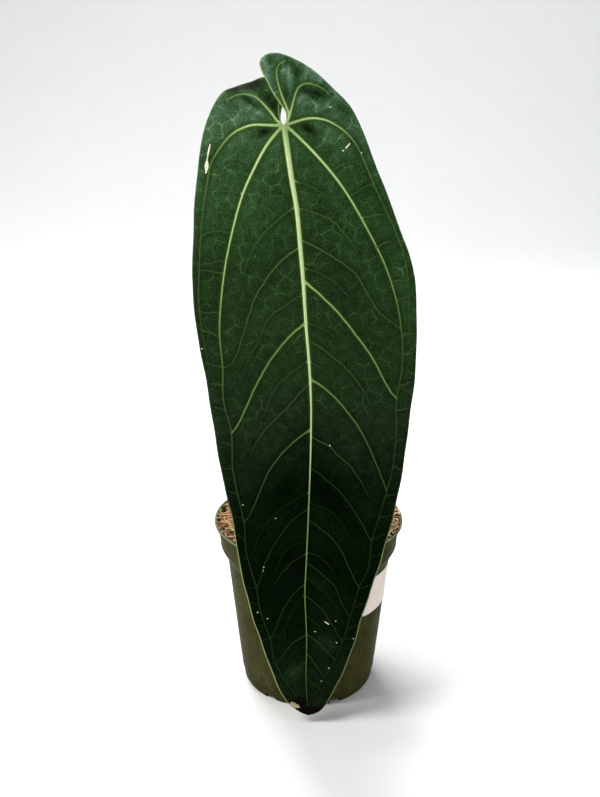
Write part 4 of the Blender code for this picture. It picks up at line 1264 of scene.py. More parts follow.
@dataclass
class Blade:
    """The leaf's blade: one sheet with raised veins, quilting, a waved edge and old marks.

    Wave is depth, length, reach and shift. Crimp is depth, length and reach, and crinkle is depth
    and size. Groove is the least painted shade beside a vein, what a pale vein adds, and how far
    out it lies. Shade sag is how far the painted shade's tones sag at the midrib, and how wide.
    Edge rows are rows of points inside the edge: how far in, and how far apart. The dead patch is
    a middle and two reaches.
    Four heights or places across are a window: start, full, ebb and end.
    """

    plan: LeafPlan = field(default_factory=LeafPlan)
    net: VeinNet = field(default_factory=VeinNet)
    arch: Profile = pairs(
        8, -76, 30, -79.5, 60, -79.5, 100, -83, 144, -87.5, 200, -90.5, 260, -88.5, 320, -80.5, 380, -67,
        430, -51, 465, -36, 490, -22, 515, -4)
    fold: Profile = pairs(8, -0.05, 60, -0.10, 150, -0.13, 300, 0.02, 465, 0.14, 515, 0.16)
    evened: float = 18.0
    crease: float = 4.0
    crossed_fold: float = 0.3
    lobe_spread: float = 0.09
    lobe_start: float = 457.0
    thickness: float = 0.8
    edge_thickness: float = 0.34
    edge_swell: Span = (-0.3, 2.4)
    quilt_depth: float = 0.95
    quilt_reach: float = 7.0
    net_depth: float = 0.34
    net_reach: float = 2.6
    wave: Quad = (1.2, 34.0, 14.0, 9.0)
    crimp: Triple = (0.3, 6.4, 9.0)
    crinkle: Span = (0.35, 14.0)
    back_relief: float = 1.35
    mark_height: float = 0.06
    edge_length: float = 520.0
    margin_step: float = 2.0
    course_step: float = 2.5
    line_step: float = 1.25
    net_step: float = 1.1
    fill_step: float = 1.5
    mark_step: float = 0.8
    vein_apart: float = 0.75
    mark_apart: float = 0.35
    flank_apart: float = 0.5
    net_apart: float = 0.85
    fill_apart: float = 0.62
    edge_apart: float = 0.45
    edge_rows: Profile = ((0.8, 0.6), (2.0, 0.8))
    crossings: int = 17
    # Painted shade and light by height: darkest about 135 mm up, lightest at the lobes.
    shade_tones: Profile = pairs(
        0, 0.11, 45, 0.115, 70, 0.085, 90, 0.062, 135, 0.045, 165, 0.055, 190, 0.075, 215, 0.11, 238,
        0.155, 262, 0.22, 295, 0.275, 350, 0.31, 380, 0.36, 415, 0.48, 440, 0.57, 478, 0.87, 510, 0.86)
    rim_lights: dict[int, Profile] = field(default_factory=lambda: {
        -1: ((0, 0.5), (40, 0.9), (165, 0.8), (200, 0.3), (240, 0.1), (460, 0.1)),
        1: ((0, 0.3), (35, 0.6), (160, 0.75), (185, 0.3), (230, 0.1), (460, 0.1))})
    fold_back: float = 0.55
    fold_across: Quad = (-66, -52, -22, -17.5)
    view_slope: float = 0.363
    vein_reach: float = 14.0
    vein_skirt: float = 1.4
    glow_reach: float = 0.7
    glow_heights: Span = (225, 290)
    groove: Triple = (0.22, 0.22, 1.1)
    shade_sag: Span = (24.0, 22.0)
    shade_sag_heights: Quad = (170, 215, 262, 300)
    blotches: float = 0.15
    # How strongly the painted highlight streaks lighten the lobes.
    streaks: float = 0.42
    highlight_streak_heights: Span = (455, 475)
    gloss: float = 0.3
    gloss_heights: Span = (425, 490)
    net_heights: Span = (120, 300)
    notch_across: Span = (13, 16)
    notch_heights: Quad = (459, 464, 492, 504)
    dead_below: Span = (-22, -13)
    dead_patch: Quad = (-7, 22, 6, 5)
    seed: int = 21

    def __post_init__(self) -> None:
        """Work out the veins, the edges and the blade's bend at every height."""
        self.veins = self.plan.veins(self.course_step, self.crossings, self.seed)
        self.margins = {side: self.plan.margin(side, self.margin_step) for side in (-1, 1)}
        self.heights = np.arange(0.0, self.edge_length, self.margin_step)
        self.arch_at, self.fold_at = self.even_out(self.arch), self.even_out(self.fold)

    def even_out(self, profile: Profile) -> Array:
        """Read a profile at every height, rounded off."""
        shifts = np.linspace(-self.evened, self.evened, 9)
        return np.mean([read_profile(profile, self.heights + shift) for shift in shifts], axis=0)

    def half(self, side: int) -> tuple[Array, Array]:
        """Lay out one half as flat points and triangles.

        Args:
            side: Minus one for the left half and one for the right.

        Returns:
            The points and the triangles.
        """
        midrib = resample(self.veins[0].course, self.line_step)
        margin = resample(self.margins[side], self.line_step)
        outline = np.concatenate((margin[:-1], midrib[:0:-1]))
        if side > 0:
            outline = outline[::-1]
        veins = [vein for vein in self.veins if vein.side in (0, side)]
        named = [vein.course for vein in veins if vein.rank not in (Rank.FAINT, Rank.CROSS)]
        self.net.plant(outline, named)
        scatter = Scatter(2.0)
        scatter.add(outline, 0.0)
        for vein in veins:
            if vein.side:
                scatter.add(resample(vein.course, self.line_step), self.vein_apart)
        for mark in MARKS:
            if mark.side == side:
                scatter.add(resample(np.array(mark.points), self.mark_step), self.mark_apart)
        for vein in veins:
            self.add_flanks(scatter, vein)
        for reach, apart in self.edge_rows:
            scatter.add(inward_row(margin, side, reach), apart)
        scatter.add(self.net.lines(self.net_step), self.net_apart)
        grid = hexagonal_grid(outline.min(axis=0), outline.max(axis=0), self.fill_step)
        scatter.add(grid, self.fill_step * self.fill_apart)
        inner = np.array(scatter.points[len(outline):])
        inner = inner[inside_outline(inner, outline)]
        clear = gap_to_line(inner, np.concatenate((outline, outline[:1])))[0] > self.edge_apart
        return triangulate(outline, inner[clear])

    def add_flanks(self, scatter: Scatter, vein: Vein) -> None:
        """Add points along both sides of a vein, at its edge and a little further out.

        Args:
            scatter: Where the points go.
            vein: The vein.
        """
        line = resample(vein.course, self.line_step)
        along = np.gradient(line, axis=0)
        across = np.column_stack((-along[:, 1], along[:, 0]))
        across /= np.maximum(np.linalg.norm(across, axis=1, keepdims=True), 1e-9)
        half = read_profile(vein.rank.half_width, np.linspace(0, 1, len(line)))[:, None]
        for reach in (half * 0.55, half, half + 0.8):
            for turn in (-1, 1):
                scatter.add(line + turn * reach * across, self.flank_apart)

    def measure(self, points: Array, side: int) -> dict[str, Array]:
        """Work out what the finish and the relief need at some points.

        Args:
            points: Flat points of one half.
            side: The half that they are on.

        Returns:
            The values at the points, by name.
        """
        far = {"vein_edge": 9.0, "mark_edge": 9.0, "vein_gap": 40.0, "vein_paleness": 0.0, "vein_glow": 0.0,
               "groove": 0.0, "ridge": 0.0}
        found = {name: np.full(len(points), value) for name, value in far.items()}
        best = np.full(len(points), -9.0)
        for vein in self.veins:
            if vein.side == -side:
                continue
            low, high = vein.course.min(axis=0) - self.vein_reach, vein.course.max(axis=0) + self.vein_reach
            near = np.flatnonzero(((points > low) & (points < high)).all(axis=1))
            gap, share = gap_to_line(points[near], vein.course)
            half = read_profile(vein.rank.half_width, share)
            paleness = vein.paleness(share)
            edge = gap / half
            score = np.where(edge < self.vein_skirt, paleness * (self.vein_skirt - edge), 0.0) - 0.01 * edge
            better = score > best[near]
            chosen = near[better]
            best[chosen] = score[better]
            found["vein_edge"][chosen] = edge[better]
            found["vein_paleness"][chosen] = paleness[better]
            if vein.rank not in (Rank.FAINT, Rank.CROSS):
                found["vein_gap"][near] = np.minimum(found["vein_gap"][near], gap)
            # Painted shade in the grooves beside the veins, deeper beside pale veins.
            depth, more, apart = self.groove
            raised = {
                "ridge": read_profile(vein.rank.ridge, share) * np.clip(1 - edge * edge, 0, 1),
                "vein_glow": ease(paleness, 0.12, 0.9) * fade(np.maximum(gap - half, 0), self.glow_reach)
                * ease(points[near, 1], *self.glow_heights),
                "groove": (depth + more * ease(paleness, 0.05, 0.4)) * fade(gap - half - apart, apart)}
            for name, values in raised.items():
                found[name][near] = np.maximum(found[name][near], values)
        for mark in MARKS:
            if mark.side == side:
                gap, share = gap_to_line(points, np.array(mark.points))
                edge = gap / read_profile(mark.half_width, share)
                found["mark_edge"] = np.minimum(found["mark_edge"], edge)
        found["net_gap"] = self.net.gap(points)
        found["edge_gap"], found["edge_share"] = gap_to_line(points, self.margins[side])
        return found

    def from_midrib(self, points: Array) -> Array:
        """Return how far some flat points lie to the right of the midrib."""
        midrib = self.veins[0].course[::-1]
        return points[:, 0] - np.interp(points[:, 1], midrib[:, 1], midrib[:, 0])

    def bend(self, points: Array, side: int, found: dict[str, Array]) -> Array:
        """Bend flat points of one half into the blade's middle surface.

        Args:
            points: The flat points.
            side: The half that they are on.
            found: What was measured at them.

        Returns:
            The points in space.
        """
        across, up = points[:, 0], points[:, 1]
        away = side * self.from_midrib(points)
        bend = np.hypot(away, self.crease) - self.crease
        bend = np.where(away < 0, bend * self.crossed_fold, bend)
        lobe = np.maximum(0.0, up - self.lobe_start)
        edge_gap, vein_gap = found["edge_gap"], found["vein_gap"]
        inward = rise(edge_gap, self.quilt_reach) * rise(away, self.quilt_reach)
        quilt = self.quilt_depth * (1 - fade(vein_gap, self.quilt_reach)) * inward
        pillow = self.net_depth * (1 - fade(found["net_gap"], self.net_reach))
        pillow = pillow * rise(away, 6) * rise(edge_gap, 3)
        depth, length, reach, shift = self.wave
        free = rise(away, 30) * fade(edge_gap, reach)
        wave = depth * free * np.sin(math.tau * (up + shift * side) / length)
        crimp_depth, crimp_length, crimp_reach = self.crimp
        run = found["edge_share"] * self.edge_length / crimp_length + 1.4 * ripple(points, 22.0, 5.5)
        crimp = crimp_depth * fade(edge_gap - 6, crimp_reach) * np.sin(math.tau * run)
        crimp = crimp * rise(away, 30) * rise(edge_gap, 2)
        crinkle_depth, crinkle_size = self.crinkle
        seeds = [Vector((x, z, 40 * side)) / crinkle_size for x, z in points]
        crinkle = crinkle_depth * np.array([noise.noise(seed) for seed in seeds])
        crinkle = crinkle * rise(away, 10)
        arch = np.interp(up, self.heights, self.arch_at)
        fold = np.interp(up, self.heights, self.fold_at)
        deep = arch + fold * bend - side * self.lobe_spread * lobe
        back = self.fold_lobe(points) if side < 0 else 0.0
        deep = deep - quilt - pillow + wave + crimp + crinkle + back
        return np.column_stack((across, deep, up - self.view_slope * back))

    def fold_lobe(self, points: Array) -> Array:
        """Return how far the left lobe folds back beyond its vein, along the line of sight.

        Args:
            points: Flat points of the left half.

        Returns:
            The distances, 0 where it is flat.
        """
        course = np.array((self.plan.hub, *self.plan.lobe_left))[::-1]
        above = points[:, 1] - np.interp(points[:, 0], course[:, 0], course[:, 1])
        above = np.where(points[:, 1] > self.plan.hub[1], above, 0.0)
        above = above * window(points[:, 0], *self.fold_across)
        return self.fold_back * (np.hypot(np.maximum(above, 0.0), 2.0) - 2.0)

    def shade(self, points: Array, found: dict[str, Array], side: int) -> None:
        """Add the values that only the colour needs: tone with its painted shade, the net's strength and the
        dead tip.

        Args:
            points: Flat points of one half.
            found: What was measured there; it grows.
            side: The half that they are on.
        """
        up = points[:, 1]
        patches = ripple(points, 26.0, 1.7 + side) + 0.5 * ripple(points, 9.0, 6.1 + side)
        # Painted shade: the dark zone reaches higher beside the midrib.
        shade_sag, spread = self.shade_sag
        shade_sag = shade_sag * fade(self.from_midrib(points), spread) * window(up, *self.shade_sag_heights)
        lit = read_profile(self.shade_tones, up - shade_sag) * (1 + self.blotches * patches)
        # Painted shadows and highlights, patch by patch.
        for patch in SHADE_PATCHES:
            if patch.side == side:
                lit = lit * (1 + patch.at(points))
        # Painted highlight streaks that fan out from the hub over the lobes; they raise the coat there too.
        out = points - self.plan.hub
        turn, reach = np.degrees(np.arctan2(out[:, 1], out[:, 0])), np.hypot(out[:, 0], out[:, 1])
        streaks = ripple(np.column_stack((turn, reach * 0.22)), 5.0, 3.3) * ease(up, *self.highlight_streak_heights)
        found["gloss"] = np.clip(self.gloss * ease(up, *self.gloss_heights) * (1 + 2.0 * streaks), 0, 1)
        # Painted shade in the middle of each net cell and in the grooves beside the veins.
        cell_shade = 1.08 - 0.17 * rise(found["net_gap"], 3.5)
        lit = lit * cell_shade * (1 - found["groove"])
        # Painted shade on the part of the left lobe that folds back.
        if side < 0:
            folded = ease(self.fold_lobe(points), 0.2, 1.6)
            lit = lit * (1 - 0.5 * folded)
            found["gloss"] = found["gloss"] * (1 - 0.9 * folded)
        found["tone"] = np.clip(lit * (1 + self.streaks * streaks), 0.0, 1.0)
        strength = ease(ripple(points, 17.0, 9.3) + 0.7 * ripple(points, 6.0, 2.6), -0.3, 0.6)
        found["net_strength"] = (0.12 + 0.88 * strength) * (0.5 + 0.5 * ease(up, *self.net_heights))
        inner = (side > 0) * ease(-points[:, 0], *self.notch_across) * window(up, *self.notch_heights)
        found["rim_light"] = np.maximum(read_profile(self.rim_lights[side], up), 0.85 * inner)
        across, height, wide, tall = self.dead_patch
        patch = np.hypot((points[:, 0] - across) / wide, (up - height) / tall)
        dead = np.maximum(ease(-up, *self.dead_below), ease(-patch, -1.3, -0.7))
        found["dead"] = dead + 0.25 * dead * ripple(points, 5.0, 4.4)

    def build(self) -> Piece:
        """Build the blade and put its finish on.

        Returns:
            The piece.
        """
        flats, middles, faces, fields = [], [], [], []
        for side in (-1, 1):
            flat, triangles = self.half(side)
            found = self.measure(flat, side)
            middles.append(self.bend(flat, side, found))
            self.shade(flat, found, side)
            faces.append(triangles + sum(len(known) for known in flats))
            flats.append(flat)
            fields.append(found)
        points, triangles, kept = weld_seam(np.concatenate(middles), np.concatenate(faces),
                                            np.concatenate(flats), len(flats[0]))
        found = {key: np.concatenate([half[key] for half in fields])[kept] for key in fields[0]}
        swelling = ease(found["edge_gap"], *self.edge_swell)
        half_thick = (self.edge_thickness + (self.thickness - self.edge_thickness) * swelling) / 2
        raised = np.where(found["mark_edge"] < 1, self.mark_height, 0.0)
        shell, faces = thicken(points, triangles, half_thick + found["ridge"] + raised,
                               half_thick + found["ridge"] * self.back_relief)
        kept_fields = ("vein_edge", "vein_paleness", "vein_glow", "net_gap", "net_strength", "rim_light",
                       "edge_gap", "mark_edge", "tone", "dead", "gloss")
        values = {key: np.tile(found[key], 2) for key in kept_fields}
        values["underside"] = np.repeat((0.0, 1.0), len(points))
        piece = make_piece("blade", shell, faces, VelvetSkin().material(), values)
        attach(piece, ROOT)
        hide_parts("leaf_blade")
        return piece


def inward_row(margin: Array, side: int, reach: float) -> Array:
    """Return a row of points that runs along a half's edge, a reach inside it.

    Args:
        margin: The half's edge, from the hub to the tip.
        side: Which half it is.
        reach: How far inside the row runs.

    Returns:
        The row's points.
    """
    along = np.gradient(margin, axis=0)
    inward = side * np.column_stack((-along[:, 1], along[:, 0]))
    inward /= np.maximum(np.linalg.norm(inward, axis=1, keepdims=True), 1e-9)
    return margin + reach * inward


def weld_seam(points: Array, faces: Array, flats: Array, first_count: int) -> tuple[Array, Array, Array]:
    """Join the second half's seam vertices to those of the first half.

    Args:
        points: Both halves' vertices.
        faces: Both halves' triangles.
        flats: Both halves' flat points.
        first_count: How many of them are the first half's.

    Returns:
        The vertices that are left, the triangles, and the index of each vertex that is kept.
    """
    known = {tuple(np.round(point, 3)): index for index, point in enumerate(flats[:first_count])}
    target = np.arange(len(points))
    for index in range(first_count, len(points)):
        target[index] = known.get(tuple(np.round(flats[index], 3)), index)
    kept, compact = np.unique(target[faces], return_inverse=True)
    return points[kept], compact.reshape(faces.shape), kept


class Growth(Bench):
    """A Geometry Nodes tree under construction, which makes one plain mesh."""

    def __init__(self, name: str, values: dict[str, object]) -> None:
        """Start a tree with named inputs, and the values that they are run with.

        Args:
            name: The tree's name.
            values: Each input's name and value.
        """
        super().__init__(bpy.data.node_groups.new(name, "GeometryNodeTree"))
        self.name, self.values = name, values
        kinds = {float: "NodeSocketFloat", int: "NodeSocketInt", Material: "NodeSocketMaterial"}
        for label, value in values.items():
            self.tree.interface.new_socket(label, in_out="INPUT", socket_type=kinds[type(value)])
        self.tree.interface.new_socket("Geometry", in_out="OUTPUT", socket_type="NodeSocketGeometry")
        self.given = self.tree.nodes.new("NodeGroupInput").outputs

    def random(self, low: object, high: object, seed: int, kind: str = "FLOAT") -> Socket:
        """Return random values between two bounds, fixed by a seed.

        Args:
            low: The lower bound.
            high: The upper bound.
            seed: The seed.
            kind: The type of the values.

        Returns:
            The values.
        """
        first = {"FLOAT": 2, "FLOAT_VECTOR": 0}[kind]
        inputs = {first: low, first + 1: high, "Seed": seed}
        node = self.add("FunctionNodeRandomValue", inputs, data_type=kind)
        return node.outputs[1 if kind == "FLOAT" else 0]

    def named(self, label: str) -> Socket:
        """Return an attribute kept by an earlier node."""
        return self.put("GeometryNodeInputNamedAttribute", {"Name": label})

    def run(self, geometry: Socket) -> Piece:
        """End the tree in a realized, dressed mesh, and return it as a plain object.

        Args:
            geometry: What the tree has made.

        Returns:
            The object, with its mesh baked and no modifier on it.
        """
        real = self.put("GeometryNodeRealizeInstances", {0: geometry})
        dressed = self.put("GeometryNodeSetMaterial", {0: real, "Material": self.given["Finish"]})
        self.add("NodeGroupOutput", {0: dressed})
        piece = bpy.data.objects.new(self.name, bpy.data.meshes.new(self.name))
        bpy.context.scene.collection.objects.link(piece)
        growth = piece.modifiers.new("Growth", "NODES")
        growth.node_group = self.tree
        for item in self.tree.interface.items_tree:
            if item.in_out == "INPUT":
                growth[item.identifier] = self.values[item.name]
        bake(piece)
        return piece


def bake(piece: Piece) -> None:
    """Turn what an object's modifiers make into its plain mesh, and remove them.

    Args:
        piece: The object.
    """
    baked = bpy.data.meshes.new_from_object(piece.evaluated_get(bpy.context.evaluated_depsgraph_get()))
    piece.modifiers.clear()
    piece.data = baked


# The pot and its sticker


@dataclass(frozen=True)
class PotFinish:
    """The pot's finish: thin olive green plastic, satin, scuffed along its edges. Heights are metres."""

    green: Colour = (0.046, 0.044, 0.0125)
    dark: Colour = (0.029, 0.028, 0.0078)
    scuff: Colour = (0.12, 0.125, 0.07)
    # Painted highlight along the top of the lip.
    lip: Colour = (0.15, 0.19, 0.12)
    dust: Colour = (0.3, 0.22, 0.13)
    lip_highlight: Span = (0.1438, 0.1443)
    # Painted shade on the taper below the band: where it starts and where it ends.
    band_shade: Profile = ((0.1115, 0.1145), (0.1245, 0.122))
    dusty: Span = (0.05, 0.0)
    mottled: float = 30.0
    drawn: float = 380.0
    grain: Triple = (1500.0, 3.0, 0.6)
    relief: Span = (0.00012, 0.5)

    def material(self) -> Material:
        """Build the pot's material.

        Returns:
            The material.
        """
        bench = Surface("pot_plastic")
        place = bench.place
        mottle = bench.group(Effect.MOTTLE, size=self.mottled, dark=self.dark, light=self.green)
        drawn = bench.group(Effect.FIBRE, fineness=self.drawn)
        grime = bench.group(Effect.GRIME, amount=1.0)
        height = bench.parts(place)["Z"]
        rubbed = bench.times(bench.attribute("worn"), bench.between(grime.outputs["Rubbed"], 0.05, 0.6))
        streaks = bench.times(drawn.outputs["Lines"], 0.05)
        skin = bench.blend(streaks, mottle.outputs["Colour"], self.scuff)
        skin = bench.blend(rubbed, skin, self.scuff)
        # Painted highlight along the top of the lip.
        skin = bench.blend(bench.between(height, *self.lip_highlight, 0.0, 0.8), skin, self.lip)
        # Painted shade on the taper below the band.
        foot, top = self.band_shade
        under = bench.times(bench.between(height, *foot), bench.between(height, *top))
        skin = bench.blend(bench.times(under, 0.6), skin, self.dark)
        low = bench.times(bench.between(height, *self.dusty), grime.outputs["Specks"])
        colour = bench.blend(low, skin, self.dust)
        rough = bench.between(grime.outputs["Rubbed"], 0.0, 1.0, 0.42, 0.62)
        fine = bench.noise(place, *self.grain)
        bench.bump(bench.plus(bench.times(drawn.outputs["Lines"], 0.35), fine), *self.relief)
        bench.shader.inputs["Specular IOR Level"].default_value = 0.008
        return bench.finish(base_color=colour, roughness=rough)


@dataclass(frozen=True)
class StickerFinish:
    """The sticker's finish: plain matt paper with a soft grain, handled at its edges."""

    paper: Colour = (0.79, 0.685, 0.615)
    handled: Colour = (0.66, 0.56, 0.49)
    mottled: float = 140.0
    pulp: Triple = (1900.0, 4.0, 0.7)
    relief: Span = (0.00008, 0.6)

    def material(self) -> Material:
        """Build the sticker's material.

        Returns:
            The material.
        """
        bench = Surface("label_paper")
        mottle = bench.group(Effect.MOTTLE, size=self.mottled, dark=self.handled, light=self.paper)
        grime = bench.group(Effect.GRIME, amount=1.0)
        clean = bench.blend(0.65, mottle.outputs["Colour"], self.paper)
        rim = bench.times(bench.attribute("rim"), bench.between(grime.outputs["Rubbed"], 0.0, 0.4))
        bench.bump(bench.noise(bench.place, *self.pulp), *self.relief)
        return bench.finish(base_color=bench.blend(rim, clean, self.handled), roughness=0.62)


@dataclass
class Pot:
    """The thin nursery pot: flared lip, deep band, tapering wall and stepped foot.

    Edges are the heights at which it is worn, how far each wear spreads and how strong it is.
    """

    sides: int = 224
    wall: float = 1.2
    height: float = 144.4
    lean: float = 0.13
    drains: int = 6
    first_drain_deg: float = -125.5
    drain_width: float = 10.0
    drain_top: float = 4.6
    drain_reach: Span = (45.0, 76.0)
    inside_r: float = 50.0
    edges: tuple[Triple, ...] = (
        (144.3, 1.6, 1.0), (123.1, 1.3, 0.5), (12.2, 1.0, 0.9), (21.5, 0.6, 0.35), (2.0, 2.2, 0.6))

    def profile(self) -> Array:
        """Return the wall's section, from the floor's middle up over the lip and down to the base.

        Returns:
            Radius and height, one pair to a row.
        """
        wall = self.wall
        corners = (
            (0, 2.0, 0), (51.4, 2.0, 2.0), (54.5 - wall, 11.8, 0.6), (55.4 - wall, 13.6, 0.8),
            (65.9 - wall, 113.3, 3), (71.4 - wall, 123.8, 3), (72.0, 141.6, 0.6), (74.7, 144.4, 0.4),
            (76.0, 144.4, 0.6), (76.0, 142.7, 0.6), (73.2, 142.3, 0.5), (72.85, 141.0, 0.4),
            (71.45, 124.0, 1.4), (70.9, 123.0, 0.6), (65.95, 113.2, 2.4), (65.75, 111.4, 0.4),
            (56.4, 21.8, 0.3), (56.05, 21.2, 0.3), (55.4, 12.8, 0.4), (54.55, 11.9, 0.4),
            (54.5, 11.0, 0.3), (53.6, 3.4, 0.7), (51.8, 0.0, 0.6), (42.8, 0.0, 0.4), (42.0, 0.8, 0.4),
            (20.8, 0.8, 0.4), (20.0, 0.0, 0.4), (0, 0, 0))
        rounded = round_corners(corners, 5)
        points = [rounded[0]]
        for start, end in zip(rounded, rounded[1:]):
            pieces = max(1, int(np.linalg.norm(end - start) / 6.0))
            points.extend(start + (end - start) * step / pieces for step in range(1, pieces + 1))
        return np.array(points)

    def cutters(self, finish: Material) -> Piece:
        """Grow the ring of blocks that cut the drain holes.

        Args:
            finish: The pot's material.

        Returns:
            The blocks, as one object.
        """
        near, far = self.drain_reach
        height = self.drain_top + 1.0
        growth = Growth("drain_cutters", {
            "Count": self.drains, "Length": (far - near) * MM, "Width": self.drain_width * MM,
            "Height": height * MM, "Reach": (near + far) / 2 * MM,
            "Turn": math.radians(self.first_drain_deg), "Drop": (self.drain_top - height / 2) * MM,
            "Finish": finish})
        given = growth.given
        size = growth.point(given["Length"], given["Width"], given["Height"])
        block = growth.put("GeometryNodeMeshCube", {"Size": size})
        aside = growth.point(given["Reach"], 0.0, given["Drop"])
        block = growth.put("GeometryNodeTransform", {"Geometry": block, "Translation": aside})
        origin = growth.put("GeometryNodePoints", {"Count": given["Count"]})
        share = growth.math("DIVIDE", growth.put("GeometryNodeInputIndex"), given["Count"])
        turn = growth.point(z=growth.plus(growth.times(share, math.tau), given["Turn"]))
        return growth.run(growth.put("GeometryNodeInstanceOnPoints",
                                     {"Points": origin, "Instance": block, "Rotation": turn}))

    def build(self) -> Piece:
        """Turn the pot, cut its drain holes and dress it.

        Returns:
            The piece.
        """
        profile = self.profile()
        points, faces = turn_profile(profile, self.sides, lambda angles, heights:
                                     self.lean * np.sin(3 * angles + 1.0) * heights / self.height)
        finish = PotFinish().material()
        piece = make_piece("nursery_pot", points, faces, finish)
        cutters = self.cutters(finish)
        cut = piece.modifiers.new("Drains", "BOOLEAN")
        cut.operation, cut.solver, cut.object = "DIFFERENCE", "EXACT", cutters
        bake(piece)
        bpy.data.objects.remove(cutters)
        piece.data.shade_smooth()
        self.wear(piece)
        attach(piece, ROOT)
        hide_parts("pot")
        return piece

    def wear(self, piece: Piece) -> None:
        """Keep how worn each vertex is: the lip's edge, the band's corner and the foot's step.

        Args:
            piece: The pot.
        """
        mesh = piece.data
        places = np.empty(len(mesh.vertices) * 3)
        mesh.vertices.foreach_get("co", places)
        places = places.reshape(-1, 3) / MM
        radii, heights = np.hypot(places[:, 0], places[:, 1]), places[:, 2]
        worn = np.zeros(len(places))
        for height, spread, amount in self.edges:
            worn = np.maximum(worn, amount * fade(heights - height, spread))
        worn[radii < self.inside_r] = 0
        layer = mesh.attributes.new("worn", "FLOAT", "POINT")
        layer.data.foreach_set("value", worn.astype(np.float32))
        cut = (heights < self.drain_top + 0.01) & (radii > self.drain_reach[0] - 1)
        for edge in mesh.edges:
            edge.use_edge_sharp = all(cut[vertex] for vertex in edge.vertices)


@dataclass
class Sticker:
    """The blank paper sticker on the pot's wall, which is given by two radii and their heights."""

    width: float = 57.0
    height: float = 33.5
    corner: float = 2.5
    thickness: float = 0.35
    angle_deg: float = -22.0
    middle: float = 94.7
    tilt_deg: float = 1.5
    wall: Profile = ((55.4, 12.4), (65.9, 112.8))
    seated: float = 0.22
    curled: float = 0.25
    curl_reach: float = 1.6
    buckled: float = 0.05
    handled: float = 0.9
    step: float = 1.6

    def outline(self) -> Array:
        """Return the rounded rectangle that the sticker is cut to.

        Returns:
            Its corners, anticlockwise.
        """
        inner_width, inner_height = self.width / 2 - self.corner, self.height / 2 - self.corner
        line = []
        for quarter, (right, up) in enumerate(((1, 1), (-1, 1), (-1, -1), (1, -1))):
            for turn in np.linspace(quarter, quarter + 1, 7) * math.pi / 2:
                line.append((right * inner_width + self.corner * math.cos(turn),
                             up * inner_height + self.corner * math.sin(turn)))
        closed = np.array(line + line[:1])
        return resample(closed, self.step)[:-1]

    def build(self) -> Piece:
        """Cut the sticker, lay it on the wall and dress it.

        Returns:
            The piece.
        """
        outline = self.outline()
        closed = np.concatenate((outline, outline[:1]))
        grid = hexagonal_grid(outline.min(axis=0), outline.max(axis=0), self.step)
        grid = grid[inside_outline(grid, outline)]
        grid = grid[gap_to_line(grid, closed)[0] > self.step / 2]
        flat, triangles = triangulate(outline, grid)
        (foot_r, foot), (top_r, top) = self.wall
        slope = (top_r - foot_r) / (top - foot)
        middle_r = foot_r + slope * (self.middle - foot)
        tilt = math.radians(-self.tilt_deg)
        across = flat[:, 0] * math.cos(tilt) - flat[:, 1] * math.sin(tilt)
        up = flat[:, 0] * math.sin(tilt) + flat[:, 1] * math.cos(tilt)
        gap = gap_to_line(flat, closed)[0]
        lift = self.seated + self.curled * fade(gap, self.curl_reach) * (0.5 + 0.5 * ripple(flat, 14.0, 2.0))
        lift = lift + self.buckled * ripple(flat, 5.0, 6.0)
        angle = math.radians(self.angle_deg) + across / middle_r
        radius = middle_r + slope * up + lift
        points = np.column_stack((radius * np.cos(angle), radius * np.sin(angle), self.middle + up))
        thick = np.full(len(points), self.thickness / 2)
        shell, faces = thicken(points, triangles, thick, thick * 0.4)
        rim = np.tile(fade(gap, self.handled), 2)
        piece = make_piece("sticker", shell, faces, StickerFinish().material(), {"rim": rim})
        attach(piece, ROOT)
        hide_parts("pot_label")
        return piece


# The growing medium


@dataclass(frozen=True)
class FibreFinish:
    """The finish of the moss: pale dry strands over a dark, damp bed. Places are in metres."""

    name: str
    dark: Colour
    light: Colour
    shade: Colour
    # Painted light on the strands towards +X, at most this much.
    painted_side_light: float = 0.0
    damp: Colour = (0.6, 0.55, 0.5)
    lit_side: Span = (0.02, 0.06)
    deep: Span = (0.1428, 0.1398)
    mottled: float = 240.0
    grain: Triple = (1400.0, 3.0, 0.7)
    relief: Span = (0.0002, 0.7)

    def material(self) -> Material:
        """Build the moss's material; a strand's own tone is kept at its vertices.

        Returns:
            The material.
        """
        bench = Surface(self.name)
        where = bench.parts(bench.place)
        # Painted light: the strands are lighter towards +X.
        lit = bench.between(where["X"], *self.lit_side, 0.0, self.painted_side_light)
        tone = bench.plus(bench.attribute("tone"), lit)
        mottle = bench.group(Effect.MOTTLE, size=self.mottled, dark=self.damp, light=(1.0, 1.0, 1.0))
        colour = bench.blend(tone, self.dark, self.light)
        colour = bench.blend(1.0, colour, mottle.outputs["Colour"], "MULTIPLY")
        colour = bench.blend(bench.between(where["Z"], *self.deep), colour, self.shade)
        bench.bump(bench.noise(bench.place, *self.grain), *self.relief)
        return bench.finish(base_color=colour, roughness=0.8)


